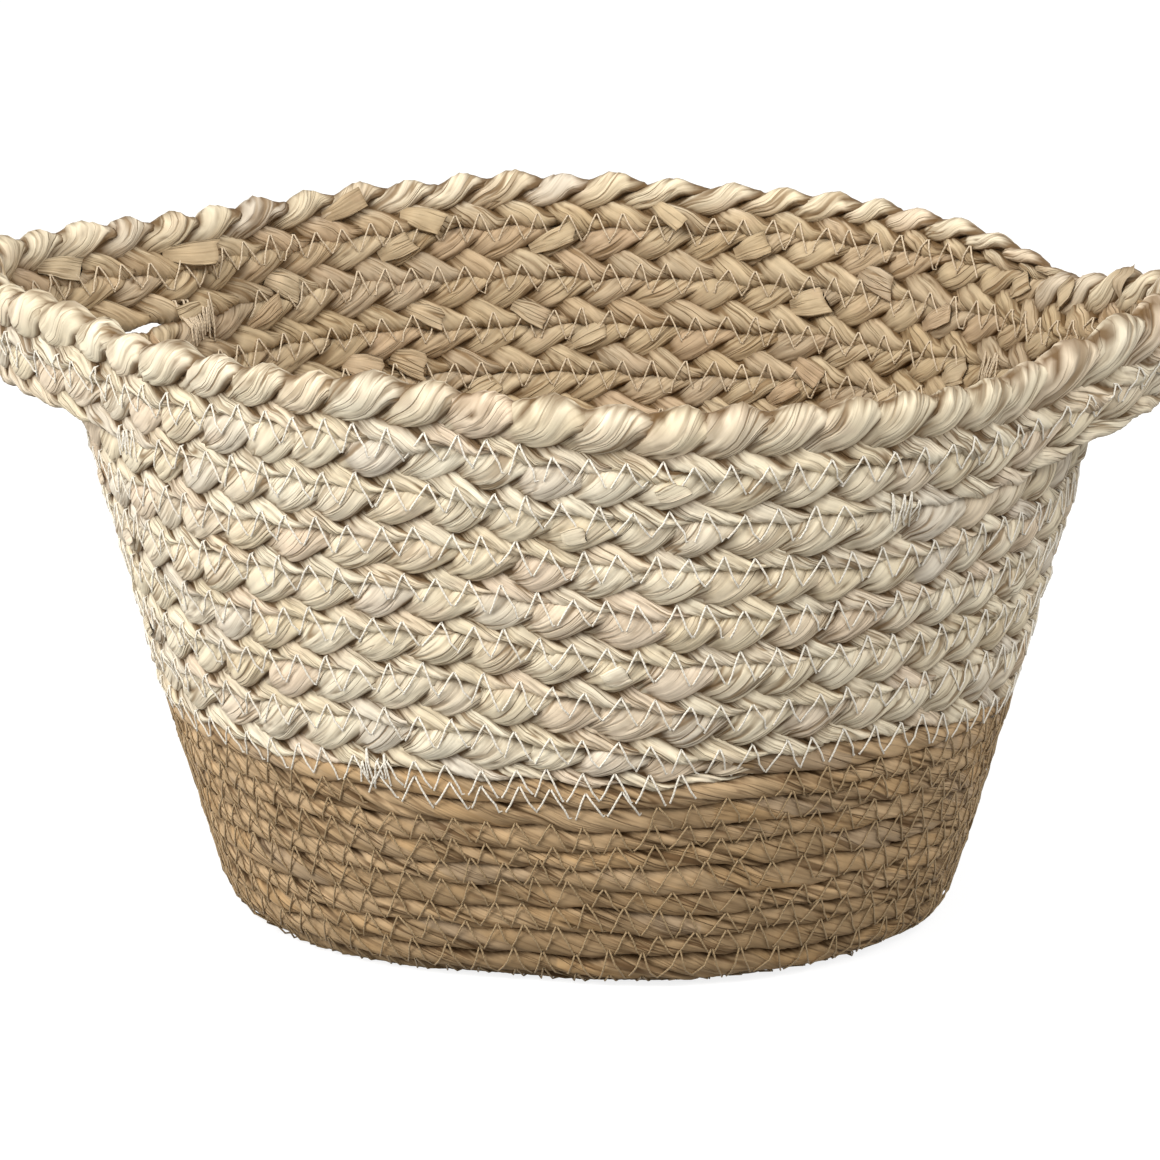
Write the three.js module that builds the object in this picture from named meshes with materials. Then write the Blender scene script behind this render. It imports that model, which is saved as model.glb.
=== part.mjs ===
// Corn husk basket: a coil of tan husk rope makes the floor and the lower wall, and a coil of cream
// husk braid makes the upper wall and the rim. The two top rows bow out at each end as carrying ears.
// Thread sews every row to the one below it. Sizes are millimetres, +Z is up, X runs through both ears
// and Y across, and the basket stands on Z = 0 with its outside centred over the origin.

import * as THREE from "three";

// Driving dimensions of the plan. Every row is two half rounds joined by short straights.
const HALF_STRAIGHT = 16;
const FLOOR_HALF_LENGTH = 92.5;

// Driving dimensions of the wall, seen in a cut through it.
const CORNER_RADIUS = 9;
const LEAN_AT_FLOOR = THREE.MathUtils.degToRad(18);
const LEAN_AT_RIM = THREE.MathUtils.degToRad(11.5);
const WALL_SLANT = 190.5;

// Driving dimensions of the two cords, as they lie side by side in the rows.
const ROPE_PITCH = 7.15;
const ROPE_THICKNESS = 7.2;
const BRAID_PITCH = 14.3;
const RIM_PITCH = 17;
const BRAID_THICKNESS = 8.4;
const ROW_GAP = 0.65;
const ROPE_INNER_WIDTH = 0.74;
const START_RADIUS = -0.8;
const END_GAP = 0.6;
const FLAT_SHARE = 0.53;

// How the rows run. The rim's last turn narrows on its way, and thins out behind the right ear.
const BORDER_SLANT = 76.7;
const RIM_TURNS = 2.2;
const BRAID_START_STATIONS = 2;
const RIM_END_STATIONS = 3;
const RIM_END_PITCH = 13.5;
const RIM_END_WIDTH = 4;
const RIM_END_ROUNDING = 1.5;

// Driving dimensions of the ears: how far each bows out, lifts, and reaches to the front and back.
const LEFT_EAR = { middle: Math.PI, reach: 26, lift: 2, front: 0.67, back: 0.42, fullness: 1.3 };
const RIGHT_EAR = { middle: 0, reach: 22, lift: 12, front: 0.4, back: 0.6, fullness: 1.7 };

// The plan's middle, off the origin because the ears are unequal.
const PLAN_MIDDLE = { x: 3.1, y: -0.27 };

// Stitching: the thread in the groove between two rows, and the bar tack at each root of an ear.
const THREAD_HALF_WIDTH = 0.7;
const THREAD_DEPTH = 0.75;
const TACK_WIDTH = 7;
const TACK_HEIGHT = 17;
const TACK_THICKNESS = 1.2;
const TACK_CLEARANCE = 0.8;
const TACK_PLACE = 0.35;

// One turn has 24 stations, closer together at the ears, and runs clockwise as seen from above.
const STATIONS = 24;
const HALF_ROUND_STEPS = 11;
const STATION_CROWDING = 1.3;
const SEAM_STATION = 10;
const RIM_END_STATION = 3;
const BRAID_TURNS = 7;

// Where the handle's rows part from the wall and meet it again, in stations from the braid's start.
const BEHIND_RIGHT_EAR = 136;
const BEFORE_RIGHT_EAR = 143;
const BEFORE_LEFT_EAR = 148;
const BEHIND_LEFT_EAR = 154;

const ROPE_COLOUR = 0xb9966a;
const BRAID_COLOUR = 0xdccdaa;
const RIM_COLOUR = 0xe3d6b4;
const TAN_THREAD_COLOUR = 0xb08f5c;
const CREAM_THREAD_COLOUR = 0xe8e0cc;

const cornerLength = CORNER_RADIUS * (Math.PI / 2 - LEAN_AT_FLOOR);
const leanRate = (LEAN_AT_FLOOR - LEAN_AT_RIM) / (WALL_SLANT - cornerLength);
const flatCut = ROPE_THICKNESS / 10;
const floorCentre = ROPE_THICKNESS / 2 - flatCut;

// Wall line

// Centre line of the wall in a cut along X: half length, height and the angle from upright,
// for a distance measured up the wall from where the flat floor ends.
function wallLine(slant) {
  const turned = THREE.MathUtils.clamp(slant, 0, cornerLength) / CORNER_RADIUS;
  const climbed = Math.max(slant - cornerLength, 0);
  const lean = LEAN_AT_FLOOR - leanRate * climbed;
  const half = FLOOR_HALF_LENGTH + Math.min(slant, 0) + CORNER_RADIUS * Math.sin(turned)
    + (Math.cos(lean) - Math.cos(LEAN_AT_FLOOR)) / leanRate;
  const height = floorCentre + CORNER_RADIUS * (1 - Math.cos(turned))
    + (Math.sin(LEAN_AT_FLOOR) - Math.sin(lean)) / leanRate;
  return { half, height, tilt: slant < cornerLength ? Math.PI / 2 - turned : lean };
}

// A station's place round the plan: the angle of the wall's outward face, and which end it is on.
function stationPlace(step) {
  const index = THREE.MathUtils.euclideanModulo(step + SEAM_STATION, STATIONS);
  const within = index % (HALF_ROUND_STEPS + 1);
  const share = 1 - 2 * within / HALF_ROUND_STEPS;
  const swing = Math.sign(share) * Math.abs(share) ** STATION_CROWDING * Math.PI / 2;
  const onRight = index <= HALF_ROUND_STEPS;
  return { facing: onRight ? swing : Math.PI + swing, side: onRight ? 1 : -1 };
}

// How far an ear has bowed out at a facing angle, from 0 at its roots to 1 at its middle.
function earShare(ear, facing) {
  const away = Math.atan2(Math.sin(facing - ear.middle), Math.cos(facing - ear.middle));
  const towardsFront = Math.sin(facing) < 0;
  const reach = towardsFront ? ear.front : ear.back;
  return Math.cos(Math.min(Math.abs(away) / reach, 1) * Math.PI / 2) ** ear.fullness;
}

// A row's cross-section frame at one station: its middle, outward and upward directions.
function rowFrame(step, slant, bowed) {
  const { facing, side } = stationPlace(step);
  const { half, height, tilt } = wallLine(slant);
  const across = new THREE.Vector3(Math.cos(facing), Math.sin(facing), 0);
  const middle = across.clone().multiplyScalar(half - HALF_STRAIGHT);
  middle.x += side * HALF_STRAIGHT + PLAN_MIDDLE.x;
  middle.y += PLAN_MIDDLE.y;
  middle.z = height;
  if (bowed) {
    for (const ear of [LEFT_EAR, RIGHT_EAR]) {
      const share = earShare(ear, facing);
      middle.addScaledVector(across, ear.reach * share);
      middle.z += ear.lift * share;
    }
  }
  const outward = across.clone().multiplyScalar(Math.cos(tilt));
  outward.z = -Math.sin(tilt);
  const upward = across.clone().multiplyScalar(Math.sin(tilt));
  upward.z = Math.cos(tilt);
  return { middle, outward, upward };
}

// Row heights

// Width of the wall's braid. Its first turn lies on the climbing rope and starts thin, so that each
// later turn can climb over the one before without a hole.
function braidWidth(step) {
  return ROPE_PITCH + (BRAID_PITCH - ROPE_PITCH) * Math.min(step / BRAID_START_STATIONS, 1);
}

// Lower edge of the braid, measured up the wall.
function braidFoot(step) {
  const turn = Math.floor(step / STATIONS);
  const within = step - turn * STATIONS;
  const start = BORDER_SLANT - ROPE_PITCH * (1 - within / STATIONS);
  return turn === 0 ? start : start + braidWidth(within) + (turn - 1) * BRAID_PITCH;
}

// Solids

// A closed body from rings of points, one ring per station, with a flat cap at both ends.
function loft(rings) {
  const positions = [];
  const sides = rings[0].length;
  const face = (a, b, c) => positions.push(...a.toArray(), ...b.toArray(), ...c.toArray());
  for (let i = 0; i + 1 < rings.length; i += 1) {
    for (let j = 0; j < sides; j += 1) {
      const k = (j + 1) % sides;
      face(rings[i][j], rings[i][k], rings[i + 1][k]);
      face(rings[i][j], rings[i + 1][k], rings[i + 1][j]);
    }
  }
  const first = rings[0];
  const last = rings[rings.length - 1];
  for (let j = 1; j + 1 < sides; j += 1) {
    face(first[0], first[j + 1], first[j]);
    face(last[0], last[j], last[j + 1]);
  }
  const geometry = new THREE.BufferGeometry();
  geometry.setAttribute("position", new THREE.Float32BufferAttribute(positions, 3));
  geometry.computeVertexNormals();
  return geometry;
}

// Six corners of a cord pressed flat where it meets its neighbours: outer, four at the flats, inner.
// A rope is narrower inside, where its rows draw together round the corner of the floor.
function cordSection(thickness, width, innerWidth = 1) {
  const edge = width / 2 - ROW_GAP / 2;
  const inner = edge * innerWidth;
  const corner = thickness / 2;
  const flat = corner * FLAT_SHARE;
  return [[corner, 0], [flat, edge], [-flat, inner], [-corner, 0], [-flat, -inner], [flat, -edge]];
}

// The floor's cord is also cut flat underneath, so its outer corner becomes two. In the first turn
// its inner side is drawn in to stay clear of the fold along the floor's middle line.
function floorSection(step) {
  const [outer, upper, ...rest] = cordSection(ROPE_THICKNESS, ROPE_PITCH, ROPE_INNER_WIDTH);
  const cut = outer[0] - flatCut;
  const reach = upper[1] * flatCut / (outer[0] - upper[0]);
  const innermost = ROW_GAP / 2 - (FLOOR_HALF_LENGTH - HALF_STRAIGHT + ropeSlant(step));
  return [[cut, -reach], [cut, reach], upper, ...rest]
    .map(([out, up]) => [out, Math.max(up, innermost)]);
}

function ringAt(frame, section) {
  return section.map(([out, up]) => frame.middle.clone()
    .addScaledVector(frame.outward, out).addScaledVector(frame.upward, up));
}

function material(color) {
  return new THREE.MeshStandardMaterial({ color, roughness: 0.85, metalness: 0 });
}

const windings = [];

// One unbroken cord wound over whole stations. sectionAt gives the section and slantAt the height.
function winding(name, from, to, slantAt, sectionAt, colour, bowed = false) {
  const rings = [];
  for (let step = from; step <= to; step += 1) {
    rings.push(ringAt(rowFrame(step, slantAt(step), bowed), sectionAt(step)));
  }
  for (const ring of rings) {
    for (const point of ring) point.z = Math.max(point.z, 0);
  }
  trimEnd(rings, 0, 1);
  trimEnd(rings, rings.length - 1, rings.length - 2);
  windings.push({ name, rings });
  const mesh = new THREE.Mesh(loft(rings), material(colour));
  mesh.name = name;
  return mesh;
}

// Draws an end ring back along the cord by half the gap that is left between two cords' ends.
function trimEnd(rings, end, next) {
  rings[end].forEach((point, i) => {
    const along = rings[next][i].clone().sub(point);
    point.addScaledVector(along.normalize(), END_GAP / 2);
  });
}

// Runs of the two cords, counted in stations from the seam where the braid takes over.
const ropeSlant = (step) => BORDER_SLANT - ROPE_PITCH / 2 + ROPE_PITCH * step / STATIONS;
const wallStart = -Math.round((BORDER_SLANT - ROPE_PITCH / 2) / ROPE_PITCH * STATIONS);
const floorRadii = FLOOR_HALF_LENGTH - HALF_STRAIGHT - START_RADIUS + ropeSlant(wallStart);
const floorStart = wallStart - Math.floor(floorRadii / ROPE_PITCH * STATIONS);
const rimEnd = (BRAID_TURNS + 1) * STATIONS + RIM_END_STATION - SEAM_STATION;
const rimStart = rimEnd - Math.round(RIM_TURNS * STATIONS);
const topStart = rimEnd - STATIONS;

// Width of the braid anywhere. The top turn is a wider braid, and its end thins out.
function braidSize(step) {
  if (step <= topStart) return braidWidth(step);
  const narrowing = (step - topStart) / (STATIONS - RIM_END_STATIONS);
  const full = THREE.MathUtils.lerp(RIM_PITCH, RIM_END_PITCH, Math.min(narrowing, 1));
  const thinned = Math.max(1 - (rimEnd - step) / RIM_END_STATIONS, 0);
  return THREE.MathUtils.lerp(full, RIM_END_WIDTH, thinned ** RIM_END_ROUNDING);
}

const braidSlant = (step) => braidFoot(step) + braidSize(step) / 2;
const ropeSection = cordSection(ROPE_THICKNESS, ROPE_PITCH, ROPE_INNER_WIDTH);
const braidSection = (step) => cordSection(BRAID_THICKNESS, braidSize(step));

const basket = new THREE.Group();

basket.add(winding("base_coil", floorStart, wallStart, ropeSlant, floorSection, ROPE_COLOUR));
basket.add(winding("lower_wall_coil", wallStart, 0, ropeSlant, () => ropeSection, ROPE_COLOUR));
basket.add(winding("upper_wall_braid", 0, rimStart, braidSlant, braidSection, BRAID_COLOUR));
basket.add(winding("rim_braid", rimStart, rimEnd, braidSlant, braidSection, RIM_COLOUR, true));

// Stitching

// A thread's four corners, sunk in the groove on the outside of the rows, or on the inside at -1.
function threadSection(thickness, face) {
  const depth = thickness / 2 * FLAT_SHARE + THREAD_DEPTH;
  const half = THREAD_HALF_WIDTH;
  return [[depth + half, 0], [depth, half], [depth - half, 0], [depth, -half]]
    .map(([out, up]) => [face * out, face * up]);
}

const ropeEdge = (step) => ropeSlant(step) + ROPE_PITCH / 2;
const ropeThread = () => threadSection(ROPE_THICKNESS, 1);
const floorThread = () => threadSection(ROPE_THICKNESS, -1);
const braidThread = () => threadSection(BRAID_THICKNESS, 1);
const floorSewnTo = wallStart - STATIONS;
const ropeSewnTo = -STATIONS;

basket.add(winding("floor_thread", floorStart, floorSewnTo, ropeEdge, floorThread,
  TAN_THREAD_COLOUR));
basket.add(winding("lower_wall_thread", floorSewnTo, ropeSewnTo, ropeEdge, ropeThread,
  TAN_THREAD_COLOUR));
basket.add(winding("upper_wall_thread", 0, BEHIND_RIGHT_EAR, braidFoot, braidThread,
  CREAM_THREAD_COLOUR));
basket.add(winding("front_handle_thread", BEFORE_RIGHT_EAR, BEFORE_LEFT_EAR, braidFoot, braidThread,
  CREAM_THREAD_COLOUR));
basket.add(winding("rim_thread", BEHIND_LEFT_EAR, rimEnd - 1, braidFoot, braidThread,
  CREAM_THREAD_COLOUR, true));

// A short bar of stitches over the two rows at an ear's root, where the handle's opening ends. It
// lies on the flat between two stations, a little way into the ear.
function barTack(name, sewn, parted) {
  const { middle, outward, upward } = rowFrame(sewn, braidFoot(sewn), true);
  const next = rowFrame(parted, braidFoot(parted), true);
  middle.lerp(next.middle, TACK_PLACE);
  outward.lerp(next.outward, 0.5).normalize();
  upward.addScaledVector(outward, -upward.dot(outward)).normalize();
  const along = new THREE.Vector3().crossVectors(outward, upward);
  const geometry = new THREE.BoxGeometry(TACK_THICKNESS, TACK_HEIGHT, TACK_WIDTH);
  const mesh = new THREE.Mesh(geometry, material(CREAM_THREAD_COLOUR));
  mesh.name = name;
  mesh.quaternion.setFromRotationMatrix(new THREE.Matrix4().makeBasis(outward, upward, along));
  const stand = BRAID_THICKNESS / 2 + TACK_CLEARANCE + TACK_THICKNESS / 2;
  mesh.position.copy(middle).addScaledVector(outward, stand);
  return mesh;
}

basket.add(barTack("right_back_tack", BEHIND_RIGHT_EAR, BEHIND_RIGHT_EAR + 1));
basket.add(barTack("right_front_tack", BEFORE_RIGHT_EAR, BEFORE_RIGHT_EAR - 1));
basket.add(barTack("left_front_tack", BEFORE_LEFT_EAR, BEFORE_LEFT_EAR + 1));
basket.add(barTack("left_back_tack", BEHIND_LEFT_EAR, BEHIND_LEFT_EAR - 1));

// Least gap of each winding to itself, between points of the same station one turn apart and points
// halfway along the steps.
function leastGap({ rings }) {
  let least = Infinity;
  const between = (ring, next) => ring.map((point, i) => point.clone().lerp(next[i], 0.5));
  const halves = rings.slice(0, -1).map((ring, i) => between(ring, rings[i + 1]));
  for (const line of [rings, halves]) {
    for (let i = 0; i + STATIONS < line.length; i += 1) {
      const ring = line[i];
      const over = line[i + STATIONS];
      for (const point of ring) {
        over.forEach((start, k) => {
          const edge = new THREE.Line3(start, over[(k + 1) % over.length]);
          const nearest = edge.closestPointToPoint(point, true, new THREE.Vector3());
          least = Math.min(least, nearest.distanceTo(point));
        });
      }
    }
  }
  return least;
}

for (const coil of windings.filter(({ rings }) => rings.length > STATIONS)) {
  const turns = (coil.rings.length - 1) / STATIONS;
  console.log(`${coil.name}: ${turns.toFixed(2)} turns, least gap ${leastGap(coil).toFixed(2)} mm`);
}

export default basket;
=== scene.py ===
"""Corn husk basket: the finished surfaces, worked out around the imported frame.

A rope of tan husk is wound and sewn into the floor and the lower wall, and a braid of three cream husk
strands goes on from it to the rim, where its two top rows bow out as carrying ears. Rows are built
straight first, as lengths along, up and out of the row, and then bent on to the line that they follow.
Lengths are millimetres until a mesh is made, and angles are radians.
"""

import logging
import math
from dataclasses import dataclass, field
from enum import Enum
from typing import Callable, NamedTuple

import bpy
import numpy as np
from mathutils import Matrix, Vector


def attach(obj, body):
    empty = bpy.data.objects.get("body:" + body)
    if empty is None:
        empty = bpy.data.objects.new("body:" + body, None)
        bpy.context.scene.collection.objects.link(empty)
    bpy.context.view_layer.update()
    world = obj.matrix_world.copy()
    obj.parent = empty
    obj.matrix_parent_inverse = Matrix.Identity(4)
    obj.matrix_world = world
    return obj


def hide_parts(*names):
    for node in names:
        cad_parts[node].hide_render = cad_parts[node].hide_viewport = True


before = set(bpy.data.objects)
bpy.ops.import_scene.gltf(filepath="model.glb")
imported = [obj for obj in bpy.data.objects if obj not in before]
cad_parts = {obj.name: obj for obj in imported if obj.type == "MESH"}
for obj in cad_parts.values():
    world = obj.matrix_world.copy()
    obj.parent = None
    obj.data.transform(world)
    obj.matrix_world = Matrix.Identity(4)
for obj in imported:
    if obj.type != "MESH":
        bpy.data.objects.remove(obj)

LOG = logging.getLogger("husk_basket")
MM = 0.001
TURN = 2 * math.pi
RANDOM_COUNT = 8192
Colour = tuple[float, float, float]
Pair = tuple[float, float]
Arrays = tuple[np.ndarray, np.ndarray]
Value = bpy.types.NodeSocket | float | Colour
Names = dict[str, Pair]


class Face(Enum):
    """Which face of the wall a thing lies on, as the sign of its outward distance."""

    OUTSIDE = 1
    INSIDE = -1


class Slot(Enum):
    """Material slots of the record that the new pieces take their finish from."""

    TAN_ROPE = "tan_rope"
    CREAM_BRAID = "cream_braid"
    TAN_THREAD = "tan_thread"
    CREAM_THREAD = "cream_thread"


class Finish(NamedTuple):
    """A made material, and the slot that it stands for."""

    slot: Slot
    material: bpy.types.Material


class Frames(NamedTuple):
    """Cross-section frames: middle points, outward and upward directions, each of shape (..., 3)."""

    middle: np.ndarray
    outward: np.ndarray
    upward: np.ndarray


def cubic(share: np.ndarray) -> np.ndarray:
    """The smooth cubic 3t^2 - 2t^3, level at 0 and at 1."""
    return share * share * (3 - 2 * share)


def ease(value: np.ndarray, low: float, high: float) -> np.ndarray:
    """Rise from 0 at low to 1 at high along the smooth cubic."""
    return cubic(np.clip((value - low) / (high - low), 0, 1))


def powered(value: np.ndarray, power: float) -> np.ndarray:
    """A power of the size of a value, with the value's own sign."""
    return np.sign(value) * np.abs(value) ** power


def turned_from(angle: np.ndarray, middle: np.ndarray) -> np.ndarray:
    """Angle from a middle, brought between minus and plus half a turn."""
    return np.arctan2(np.sin(angle - middle), np.cos(angle - middle))


def drift(place: np.ndarray, spacing: float, seed: int) -> np.ndarray:
    """Smooth random line through knots a spacing apart.

    Formula in words: each knot holds a random value from -1 to 1, and a place between two knots mixes
    their values by the smooth cubic of its share of the way.

    Args:
        place: Where along the line to read it.
        spacing: Distance between two knots.
        seed: Which random line it is.

    Returns:
        Values from -1 to 1, in the shape of place.
    """
    knots = np.random.default_rng(seed).uniform(-1, 1, RANDOM_COUNT)
    at = np.asarray(place, float) / spacing
    below = np.floor(at).astype(int)
    share = cubic(at - below)
    return knots[below % RANDOM_COUNT] * (1 - share) + knots[(below + 1) % RANDOM_COUNT] * share


class Line(NamedTuple):
    """A smooth random line: how far it strays, the distance between its knots, and its seed."""

    reach: float
    spacing: float
    seed: int

    def read(self, place: np.ndarray, seed: int = 0) -> np.ndarray:
        """Its values at places, with its seed counted from a first one."""
        return self.reach * drift(place, self.spacing, seed + self.seed)


def scatter(index: np.ndarray, seed: int) -> np.ndarray:
    """A random value from 0 to 1 for each whole number, the same each time."""
    values = np.random.default_rng(seed).uniform(0, 1, RANDOM_COUNT)
    return values[np.asarray(index, int) % RANDOM_COUNT]


@dataclass(frozen=True)
class Ear:
    """A carrying ear: where it bows out, how far, how high, and its reach to the front and back."""

    middle: float
    reach: float
    lift: float
    front: float
    back: float
    fullness: float

    def share(self, facing: np.ndarray) -> np.ndarray:
        """How far the ear has bowed out.

        Formula in words: a quarter wave of the angle from the ear's middle, raised to the fullness.

        Args:
            facing: Facing angle of the wall.

        Returns:
            Share from 0 at the ear's roots to 1 at its middle.
        """
        away = turned_from(facing, self.middle)
        half_angle = np.where(np.sin(facing) < 0, self.front, self.back)
        closeness = np.minimum(np.abs(away) / half_angle, 1)
        return np.clip(np.cos(closeness * math.pi / 2), 0, 1) ** self.fullness


@dataclass(frozen=True)
class Wall:
    """The basket's plan of two half rounds and straights, and its wall line in a cut along X."""

    half_straight: float = 16
    floor_half_length: float = 92.5
    corner_radius: float = 9
    lean_at_floor: float = math.radians(18)
    lean_at_rim: float = math.radians(11.5)
    slant_length: float = 190.5
    floor_centre: float = 2.88
    middle_x: float = 3.1
    middle_y: float = -0.27
    stations: int = 24
    half_round_steps: int = 11
    crowding: float = 1.3
    seam_station: int = 10
    bowed_from: float = 132
    ears: tuple[Ear, Ear] = (
        Ear(middle=math.pi, reach=26, lift=2, front=0.67, back=0.42, fullness=1.3),
        Ear(middle=0, reach=22, lift=12, front=0.4, back=0.6, fullness=1.7),
    )

    def line(self, slant: np.ndarray) -> tuple[np.ndarray, np.ndarray, np.ndarray]:
        """Centre line of the wall.

        Formula in words: the floor runs level to slant 0, a small arc turns it up to the lean at the
        floor, and one large arc from there stands the wall slowly upright towards the rim.

        Args:
            slant: Distance up the wall from where the flat floor ends.

        Returns:
            Half length of the plan, height, and the angle from upright.
        """
        corner = self.corner_radius * (math.pi / 2 - self.lean_at_floor)
        rate = (self.lean_at_floor - self.lean_at_rim) / (self.slant_length - corner)
        turned = np.clip(slant, 0, corner) / self.corner_radius
        lean = self.lean_at_floor - rate * np.maximum(slant - corner, 0)
        half = (
            self.floor_half_length
            + np.minimum(slant, 0)
            + self.corner_radius * np.sin(turned)
            + (np.cos(lean) - math.cos(self.lean_at_floor)) / rate
        )
        height = (
            self.floor_centre
            + self.corner_radius * (1 - np.cos(turned))
            + (math.sin(self.lean_at_floor) - np.sin(lean)) / rate
        )
        return half, height, np.where(slant < corner, math.pi / 2 - turned, lean)

    def place(self, step: np.ndarray) -> Arrays:
        """Where a station stands in the plan.

        Formula in words: stations crowd towards the middle of each half round by a power, and one
        step on each straight leads from one half round to the other.

        Args:
            step: Station along the spiral.

        Returns:
            Facing angle of the wall, and its side from 1 at the right half round to -1.
        """
        index = np.mod(step + self.seam_station, self.stations)
        within = np.mod(index, self.half_round_steps + 1)
        share = np.clip(1 - 2 * within / self.half_round_steps, -1, 1)
        swing = powered(share, self.crowding) * math.pi / 2
        right = index < self.half_round_steps + 1
        crossed = np.clip(within - self.half_round_steps, 0, 1)
        side = np.where(right, 1, -1) * (1 - 2 * crossed)
        return np.where(right, swing, math.pi + swing), side

    def sag(self, facing: np.ndarray, slant: np.ndarray) -> Arrays:
        """Slight unevenness of hand work, as two waves round the wall in each direction.

        Args:
            facing: Facing angle of the wall.
            slant: Distance up the wall.

        Returns:
            How far the wall stands out and up of its true line.
        """
        risen = ease(slant, 14, 70)
        out = 0.7 * np.sin(2 * facing + 0.03 * slant + 2.1) + 0.45 * np.sin(5 * facing - 0.05 * slant)
        up = 0.5 * np.sin(3 * facing + 0.04 * slant + 1.3) + 0.35 * np.sin(7 * facing - 0.06 * slant)
        return out * risen, up * risen

    def frames(self, step: np.ndarray, slant: np.ndarray, bowed: np.ndarray) -> Frames:
        """Cross-section frames of the rows.

        Args:
            step: Stations along the spiral.
            slant: Distances up the wall.
            bowed: 1 where the row bows out at the ears, and 0 where it keeps to the wall.

        Returns:
            The frames at the rows' middles.
        """
        facing, side = self.place(step)
        out_sag, up_sag = self.sag(facing, slant)
        half, height, tilt = self.line(slant + up_sag)
        flat = np.stack([np.cos(facing), np.sin(facing), np.zeros_like(facing)], -1)
        bow = np.zeros_like(facing)
        lift = np.zeros_like(facing)
        for ear in self.ears:
            share = ear.share(facing) * bowed
            bow = bow + ear.reach * share
            lift = lift + ear.lift * share
        middle = flat * (half - self.half_straight + out_sag + bow)[..., None]
        middle[..., 0] += side * self.half_straight + self.middle_x
        middle[..., 1] += self.middle_y
        middle[..., 2] += height + lift
        outward = flat * np.cos(tilt)[..., None]
        outward[..., 2] = -np.sin(tilt)
        upward = flat * np.sin(tilt)[..., None]
        upward[..., 2] = np.cos(tilt)
        return Frames(middle, outward, upward)


WALL = Wall()


@dataclass(frozen=True)
class Rows:
    """How the one long spiral of rows runs: rope below the border, braid above, in stations."""

    rope_pitch: float = 7.15
    braid_pitch: float = 14.3
    rim_pitch: float = 17
    border_slant: float = 76.7
    braid_start: float = 2
    rim_end_stations: float = 3
    rim_end_pitch: float = 13.5
    rim_end_width: float = 4
    rim_end_rounding: float = 1.5
    wall_start: int = -245
    floor_start: int = -504
    rim_start: int = 132
    top_start: int = 161
    rim_end: int = 185
    braid_first: float = -0.45
    rope_last: float = 0.25
    rope_unevenness: float = 2.4
    braid_unevenness: float = 1.0
    edge_lines: tuple[Line, ...] = (Line(0.45, 1.7, 11), Line(0.35, 0.7, 12), Line(0.4, 0.3, 13))

    def edge_drift(self, step: np.ndarray) -> np.ndarray:
        """How far a row's upper edge strays from its even line.

        Args:
            step: Station along the spiral.

        Returns:
            Distance up, greater on the rope than on the braid.
        """
        wave = sum(line.read(step) for line in self.edge_lines)
        share = ease(step, -2, 6)
        return wave * (self.rope_unevenness * (1 - share) + self.braid_unevenness * share)

    def stray(self, step: np.ndarray) -> Arrays:
        """How a row follows its own stray upper edge and the edge a turn below.

        Args:
            step: Station along the spiral.

        Returns:
            Shift of the row's middle, and change of its width.
        """
        above = self.edge_drift(step)
        below = self.edge_drift(step - WALL.stations)
        return (above + below) / 2, above - below

    def rope_slant(self, step: np.ndarray) -> np.ndarray:
        """Slant of the rope's middle: it climbs one pitch in each turn."""
        even = self.border_slant - self.rope_pitch / 2 + self.rope_pitch * step / WALL.stations
        return even + self.stray(step)[0]

    def rope_width(self, step: np.ndarray) -> np.ndarray:
        """Width of the rope where it lies pressed between its neighbours, thin at its end."""
        pressed = self.rope_pitch + self.stray(step)[1]
        return pressed * (1 - 0.75 * ease(step, -0.9, self.rope_last))

    def braid_rise(self, within: np.ndarray) -> np.ndarray:
        """Width of the braid's first turn, which starts thin on the climbing rope."""
        grown = np.minimum(within / self.braid_start, 1)
        return self.rope_pitch + (self.braid_pitch - self.rope_pitch) * grown

    def braid_foot(self, step: np.ndarray) -> np.ndarray:
        """Even lower edge of the braid.

        Formula in words: the first turn lies on the rope's last one and so climbs with it, and each
        later turn stands on the width of the turns below.

        Args:
            step: Station along the spiral.

        Returns:
            Slant of the edge.
        """
        turn = np.maximum(np.floor(step / WALL.stations), 0)
        within = step - turn * WALL.stations
        start = self.border_slant - self.rope_pitch * (1 - within / WALL.stations)
        later = start + self.braid_rise(within) + (turn - 1) * self.braid_pitch
        return np.where(turn < 1, start, later)

    def even_braid_width(self, step: np.ndarray) -> np.ndarray:
        """Width of the braid before its edges stray.

        Formula in words: it grows over the first stations, is wider in the top turn, where it then
        narrows slowly, and is thinned out along a rounded line over the last stations.

        Args:
            step: Station along the spiral.

        Returns:
            The width.
        """
        narrowing = (step - self.top_start) / (WALL.stations - self.rim_end_stations)
        top = self.rim_pitch + (self.rim_end_pitch - self.rim_pitch) * np.clip(narrowing, 0, 1)
        widening = ease(step, self.top_start - 0.5, self.top_start + 0.5)
        full = self.braid_rise(step) * (1 - widening) + top * widening
        left = np.clip(1 - (self.rim_end - step) / self.rim_end_stations, 0, 1)
        return full + (self.rim_end_width - full) * left**self.rim_end_rounding

    def braid_width(self, step: np.ndarray) -> np.ndarray:
        """Width of the braid where it lies pressed between its neighbours."""
        return self.even_braid_width(step) + self.stray(step)[1]

    def braid_slant(self, step: np.ndarray) -> np.ndarray:
        """Slant of the braid's middle."""
        return self.braid_foot(step) + self.even_braid_width(step) / 2 + self.stray(step)[0]


ROWS = Rows()


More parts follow.
